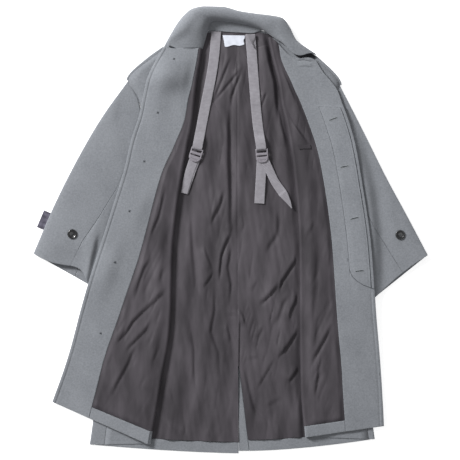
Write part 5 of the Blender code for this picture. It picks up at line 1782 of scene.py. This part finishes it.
@dataclass
class CarryingStraps:
    """Two straps inside the back, each with a ladder-lock buckle, a sewn tail and a free tail."""

    back: Back
    strap: dict = field(default_factory=lambda: {
        Side.LEFT: [Station(-36, 497, 25), Station(-41, 435, 25), Station(-70, 275, 25), Station(-84.4, 198.5, 25)],
        Side.RIGHT: [Station(49, 489, 25), Station(53, 440, 25), Station(66.5, 275, 25), Station(77.6, 197, 25)],
    })
    anchor: dict = field(default_factory=lambda: {
        Side.LEFT: [Station(-87, 181, 25), Station(-101, 140, 23), Station(-115, 91, 17)],
        Side.RIGHT: [Station(78.5, 181, 25), Station(76, 140, 25), Station(72, 66, 25)],
    })
    free: dict = field(default_factory=lambda: {
        Side.LEFT: [Station(-90, 180, 24), Station(-104, 140, 22), Station(-116, 91.5, 17)],
        Side.RIGHT: [
            Station(81, 181, 24), Station(92, 160, 21), Station(110, 122, 21), Station(129, 94, 22),
            Station(143, 73, 13), Station(153, 54, 2),
        ],
    })
    buckle_place: dict = field(default_factory=lambda: {
        Side.LEFT: (-87.5, 187.0, -18.0), Side.RIGHT: (78.5, 185.0, 4.0),
    })
    buckle_size: tuple[float, float, float] = (31.0, 36.0, 3.0)
    doubled_end: float = 46.0
    fold_corners: tuple = ((37.5, 489), (61, 488), (58, 455))
    label_corners: tuple = ((-20, 487), (35, 486), (33, 463), (-14, 459))

    def ground(self, middle: np.ndarray, radii: Sequence[float] = (0, 6, 12, 18)) -> np.ndarray:
        """Takes the lining's highest point round each place, then a running mean, so a band bridges creases.

        Args:
            middle: Places in mm.
            radii: Rings that are searched.

        Returns:
            Heights in mm.
        """
        around = np.linspace(0, 2 * math.pi, 12, endpoint=False)
        height = np.zeros(len(middle))
        for radius in radii:
            x = middle[:, :1] + radius * np.cos(around)
            y = middle[:, 1:] + radius * np.sin(around)
            height = np.maximum(height, self.back.lining_top(x, y).max(axis=1))
        kernel = np.ones(9) / 9
        smooth = np.convolve(np.pad(height, 4, mode="edge"), kernel, mode="valid")
        return np.maximum(height, smooth)

    def band(
        self, name: str, stations: Sequence[Station], lift: float, node: str, over: float = 0.0, doubled: float = 0.0
    ) -> None:
        """Carries a flat section along smooth curves through the stations, a little crowned across.

        Args:
            name: Name of the piece.
            stations: Places and widths along it.
            lift: Height above the lining, in mm.
            node: CAD node that it replaces.
            over: How much its last end rises, over a buckle, in mm.
            doubled: Length of its last end that is folded over on itself, in mm.
        """
        rows = np.array(stations, float)
        xy, width = rows[:, :2], rows[:, 2]
        knots = np.concatenate([[0], np.cumsum(np.linalg.norm(np.diff(xy, axis=0), axis=1))])
        run = packed(0, knots[-1], int(knots[-1] / 2.2), [0, knots[-1]], 1.5)
        middle = curve_through(knots, xy, run)
        half = curve_through(knots, width, run) / 2
        way = unit(np.gradient(middle, axis=0))
        across = np.column_stack([way[:, 1], -way[:, 0]])
        height = self.ground(middle) + lift + WEBBING / 2
        to_end = run - run[-1]
        if doubled:
            height = height + 1.7 * soft_step((to_end + doubled) / 1.6)
        if over:
            height = height + over * soft_step((to_end + 46) / 26) - (over + 1.0) * soft_step((to_end + 5) / 5)
        share = packed(-1, 1, 12, [-1, 1], 0.08)
        spots = middle[:, None] + across[:, None] * (half[:, None] * share)[..., None]
        ripple = 0.25 * waves(spots[..., 0], spots[..., 1], len(name), 40.0, 55.0)
        grid = raised(spots, height[:, None] + 0.35 * (1 - share[None, :] ** 2) + ripple)
        word = "left" if stations[0].x < 0 else "right"
        lay_cloth(name, grid, WEBBING, STRAP_BAND, node, [f"back_lining_cloth_{word}"])

    def buckle(self, side: Side) -> None:
        """Joins rounded bars: two rails, three rungs and a round foot."""
        x, y, degrees = self.buckle_place[side]
        width, length, thick = self.buckle_size
        low = float(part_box(f"strap_buckle_{side.value}")[0].z) / MM
        base = max(low, float(self.ground(np.array([[x, y]]))[0]) + 2 * WEBBING + 3 * SEAM)
        half_w, half_l = width / 2, length / 2
        foot = np.linspace(math.pi, 2 * math.pi, 25)
        bars = [
            ([(-half_w + 1.6, half_l - 1), (-half_w + 1.6, -half_l * 0.35)], 3.2),
            ([(half_w - 1.6, half_l - 1), (half_w - 1.6, -half_l * 0.35)], 3.2),
            ([(-half_w + 1, half_l - 2), (half_w - 1, half_l - 2)], 4.0),
            ([(-half_w + 1, 4.6), (half_w - 1, 4.6)], 7.0),
            ([(-half_w + 1, -6.3), (half_w - 1, -6.3)], 9.0),
            (list(zip((half_w - 4.5) * np.cos(foot), -9.0 + 6.5 * np.sin(foot))), 3.6),
            ([(-7.5, -12.4), (7.5, -12.4)], 3.6),
        ]
        parts = []
        for points, wide in bars:
            line = np.array(points, float)
            if len(line) == 2:
                line = np.linspace(*line, 9)
            line = turned(line, degrees, (x, y))
            path = np.column_stack([line, np.full(len(line), base + thick / 2)])
            parts.append(bar_along(path, wide, thick, 3.0, 16))
        dress(join_parts(f"ladder_lock_{side.value}", parts), ACETAL, f"strap_buckle_{side.value}")

    def patch(
        self, name: str, corners: Sequence[tuple], lift: float, thickness: float, droop: float, lean: float = 0.0
    ) -> np.ndarray:
        """Spans four corners evenly and drops one edge a little, in waves.

        Args:
            name: Name of the patch, which sets its waves.
            corners: Top left, top right, bottom right and bottom left, in mm.
            lift: Height above the lining.
            thickness: In mm.
            droop: How much its lower edge drops.
            lean: How much its left edge rises.

        Returns:
            Middle of the cloth.
        """
        top_left, top_right, low_right, low_left = (np.array(corner, float) for corner in corners)
        s = packed(0, 1, 30, [0, 1], 0.02)[None, :, None]
        t = packed(0, 1, 18, [0, 1], 0.03)[:, None, None]
        spots = (top_left * (1 - s) + top_right * s) * (1 - t) + (low_left * (1 - s) + low_right * s) * t
        spots[..., 1] -= (1.6 * np.sin(2 * math.pi * 1.5 * s[..., 0] + 0.6) * t[..., 0])
        spots[..., 0] += 1.2 * np.sin(2 * math.pi * 1.3 * t[..., 0]) * s[..., 0]
        level = self.ground(spots.reshape(-1, 2)[::9], (0, 5, 10)).max()
        z = level + lift + thickness / 2 - droop * t[..., 0] ** 2 + lean * (1 - s[..., 0])
        return raised(spots, z + 0.4 * waves(spots[..., 0], spots[..., 1], len(name), 22.0, 30.0))

    def build(self) -> None:
        """Makes and dresses the straps, buckles, tails, the folded root and the neck label."""
        for side in Side:
            word = side.value
            self.band(f"anchor_tail_webbing_{word}", self.anchor[side], SEAM, f"anchor_tail_{word}")
            doubled = self.doubled_end * (side is Side.RIGHT)
            above = 2 * SEAM + WEBBING
            self.band(f"free_tail_webbing_{word}", self.free[side], above, f"free_tail_{word}", doubled=doubled)
            self.buckle(side)
            over = 2 * (SEAM + WEBBING) + SEAM + self.buckle_size[2]
            self.band(f"strap_webbing_{word}", self.strap[side], SEAM, f"strap_{word}", over=over)
        a, b, c = self.fold_corners
        middle = self.patch("strap_fold", (a, b, c, (c[0] - 1.0, c[1] + 1.5)), 2 * SEAM + WEBBING, WEBBING, 0.4, 6.0)
        strap = ["strap_webbing_right"]
        lay_cloth("strap_fold_webbing", middle, WEBBING, STRAP_BAND, "strap_fold_right", strap, "folded")
        middle = self.patch("neck_label", self.label_corners, SEAM + 0.3, LABEL, 0.6)
        lay_cloth("neck_label_woven", middle, LABEL, LABEL_WHITE, "neck_label", ["back_lining_cloth_left"])


@dataclass
class Studio:
    """The pale floor, the soft lights and a camera that looks straight down through a long lens."""

    view_width: float = 1.15
    lens: float = 120.0
    sensor: float = 36.0
    air_strength: float = 0.34
    floor_size: float = 14.0
    middle: tuple[float, float] = (-0.0015, 0.0)
    softboxes: tuple = (
        ("key_softbox", (-4.2, 3.4, 3.6), 1.6, 570.0),
        ("top_softbox", (0.4, -0.5, 4.8), 2.4, 22.0),
    )

    def floor(self) -> None:
        """Lays a plain pale square under the coat."""
        half = self.floor_size / 2
        mesh = bpy.data.meshes.new("floor")
        mesh.from_pydata([(-half, -half, 0), (half, -half, 0), (half, half, 0), (-half, half, 0)], [], [(0, 1, 2, 3)])
        thing = bpy.data.objects.new("floor", mesh)
        bpy.context.scene.collection.objects.link(thing)
        paper = Pattern("studio_floor_paper", {
            "Base Color": linear("#fafafa"),
            "Roughness": 0.9,
            "Specular IOR Level": 0.1,
            "Emission Color": linear("#ffffff"),
            "Emission Strength": 0.6,
        })
        mesh.materials.append(paper.material)

    def light(self, name: str, place: tuple[float, float, float], size: float, power: float) -> None:
        """Adds a square soft light that faces the coat.

        Args:
            name: Name of the light.
            place: Where it hangs, in metres.
            size: Side of the square, in metres.
            power: In watts.
        """
        lamp = bpy.data.lights.new(name, "AREA")
        lamp.size = size
        lamp.energy = power
        thing = bpy.data.objects.new(name, lamp)
        thing.location = place
        thing.rotation_mode = "QUATERNION"
        thing.rotation_quaternion = (-Vector(place)).to_track_quat("-Z", "Y")
        bpy.context.scene.collection.objects.link(thing)

    def build(self) -> None:
        """Sets up floor, lights, surroundings and camera."""
        self.floor()
        for softbox in self.softboxes:
            self.light(*softbox)
        world = bpy.data.worlds.new("studio_air")
        world.use_nodes = True
        air = world.node_tree.nodes["Background"]
        air.inputs["Color"].default_value = linear("#ffffff")
        air.inputs["Strength"].default_value = self.air_strength
        bpy.context.scene.world = world
        bpy.context.scene.view_settings.view_transform = "Standard"
        camera = bpy.data.cameras.new("camera")
        camera.lens = self.lens
        camera.sensor_width = self.sensor
        camera.clip_end = 100.0
        thing = bpy.data.objects.new("camera", camera)
        thing.location = (*self.middle, self.view_width * self.lens / self.sensor + 0.01)
        bpy.context.scene.collection.objects.link(thing)
        bpy.context.scene.camera = thing


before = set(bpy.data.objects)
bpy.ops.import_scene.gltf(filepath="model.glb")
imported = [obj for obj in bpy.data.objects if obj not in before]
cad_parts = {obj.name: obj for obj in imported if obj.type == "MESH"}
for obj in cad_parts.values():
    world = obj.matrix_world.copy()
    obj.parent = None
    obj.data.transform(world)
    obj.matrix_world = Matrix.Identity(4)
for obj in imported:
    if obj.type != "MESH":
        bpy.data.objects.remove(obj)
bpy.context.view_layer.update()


def main() -> None:
    """Builds the coat's sub-assemblies in order, then the studio."""
    logging.basicConfig(level=logging.INFO, format="%(name)s: %(message)s")
    levels = np.arange(11.0)
    back = Back(valleys={side: spot(FRONT_ROWS[side], "valley", levels) for side in Side})
    sleeves = Sleeves(back)
    back.build()
    sleeves.build()
    Front(Side.LEFT, back, sleeves, radius=5.0).build()
    Front(Side.RIGHT, back, sleeves, radius=4.0).build()
    Collar().build()
    CarryingStraps(back).build()
    Studio().build()


if __name__ == "__main__":
    main()
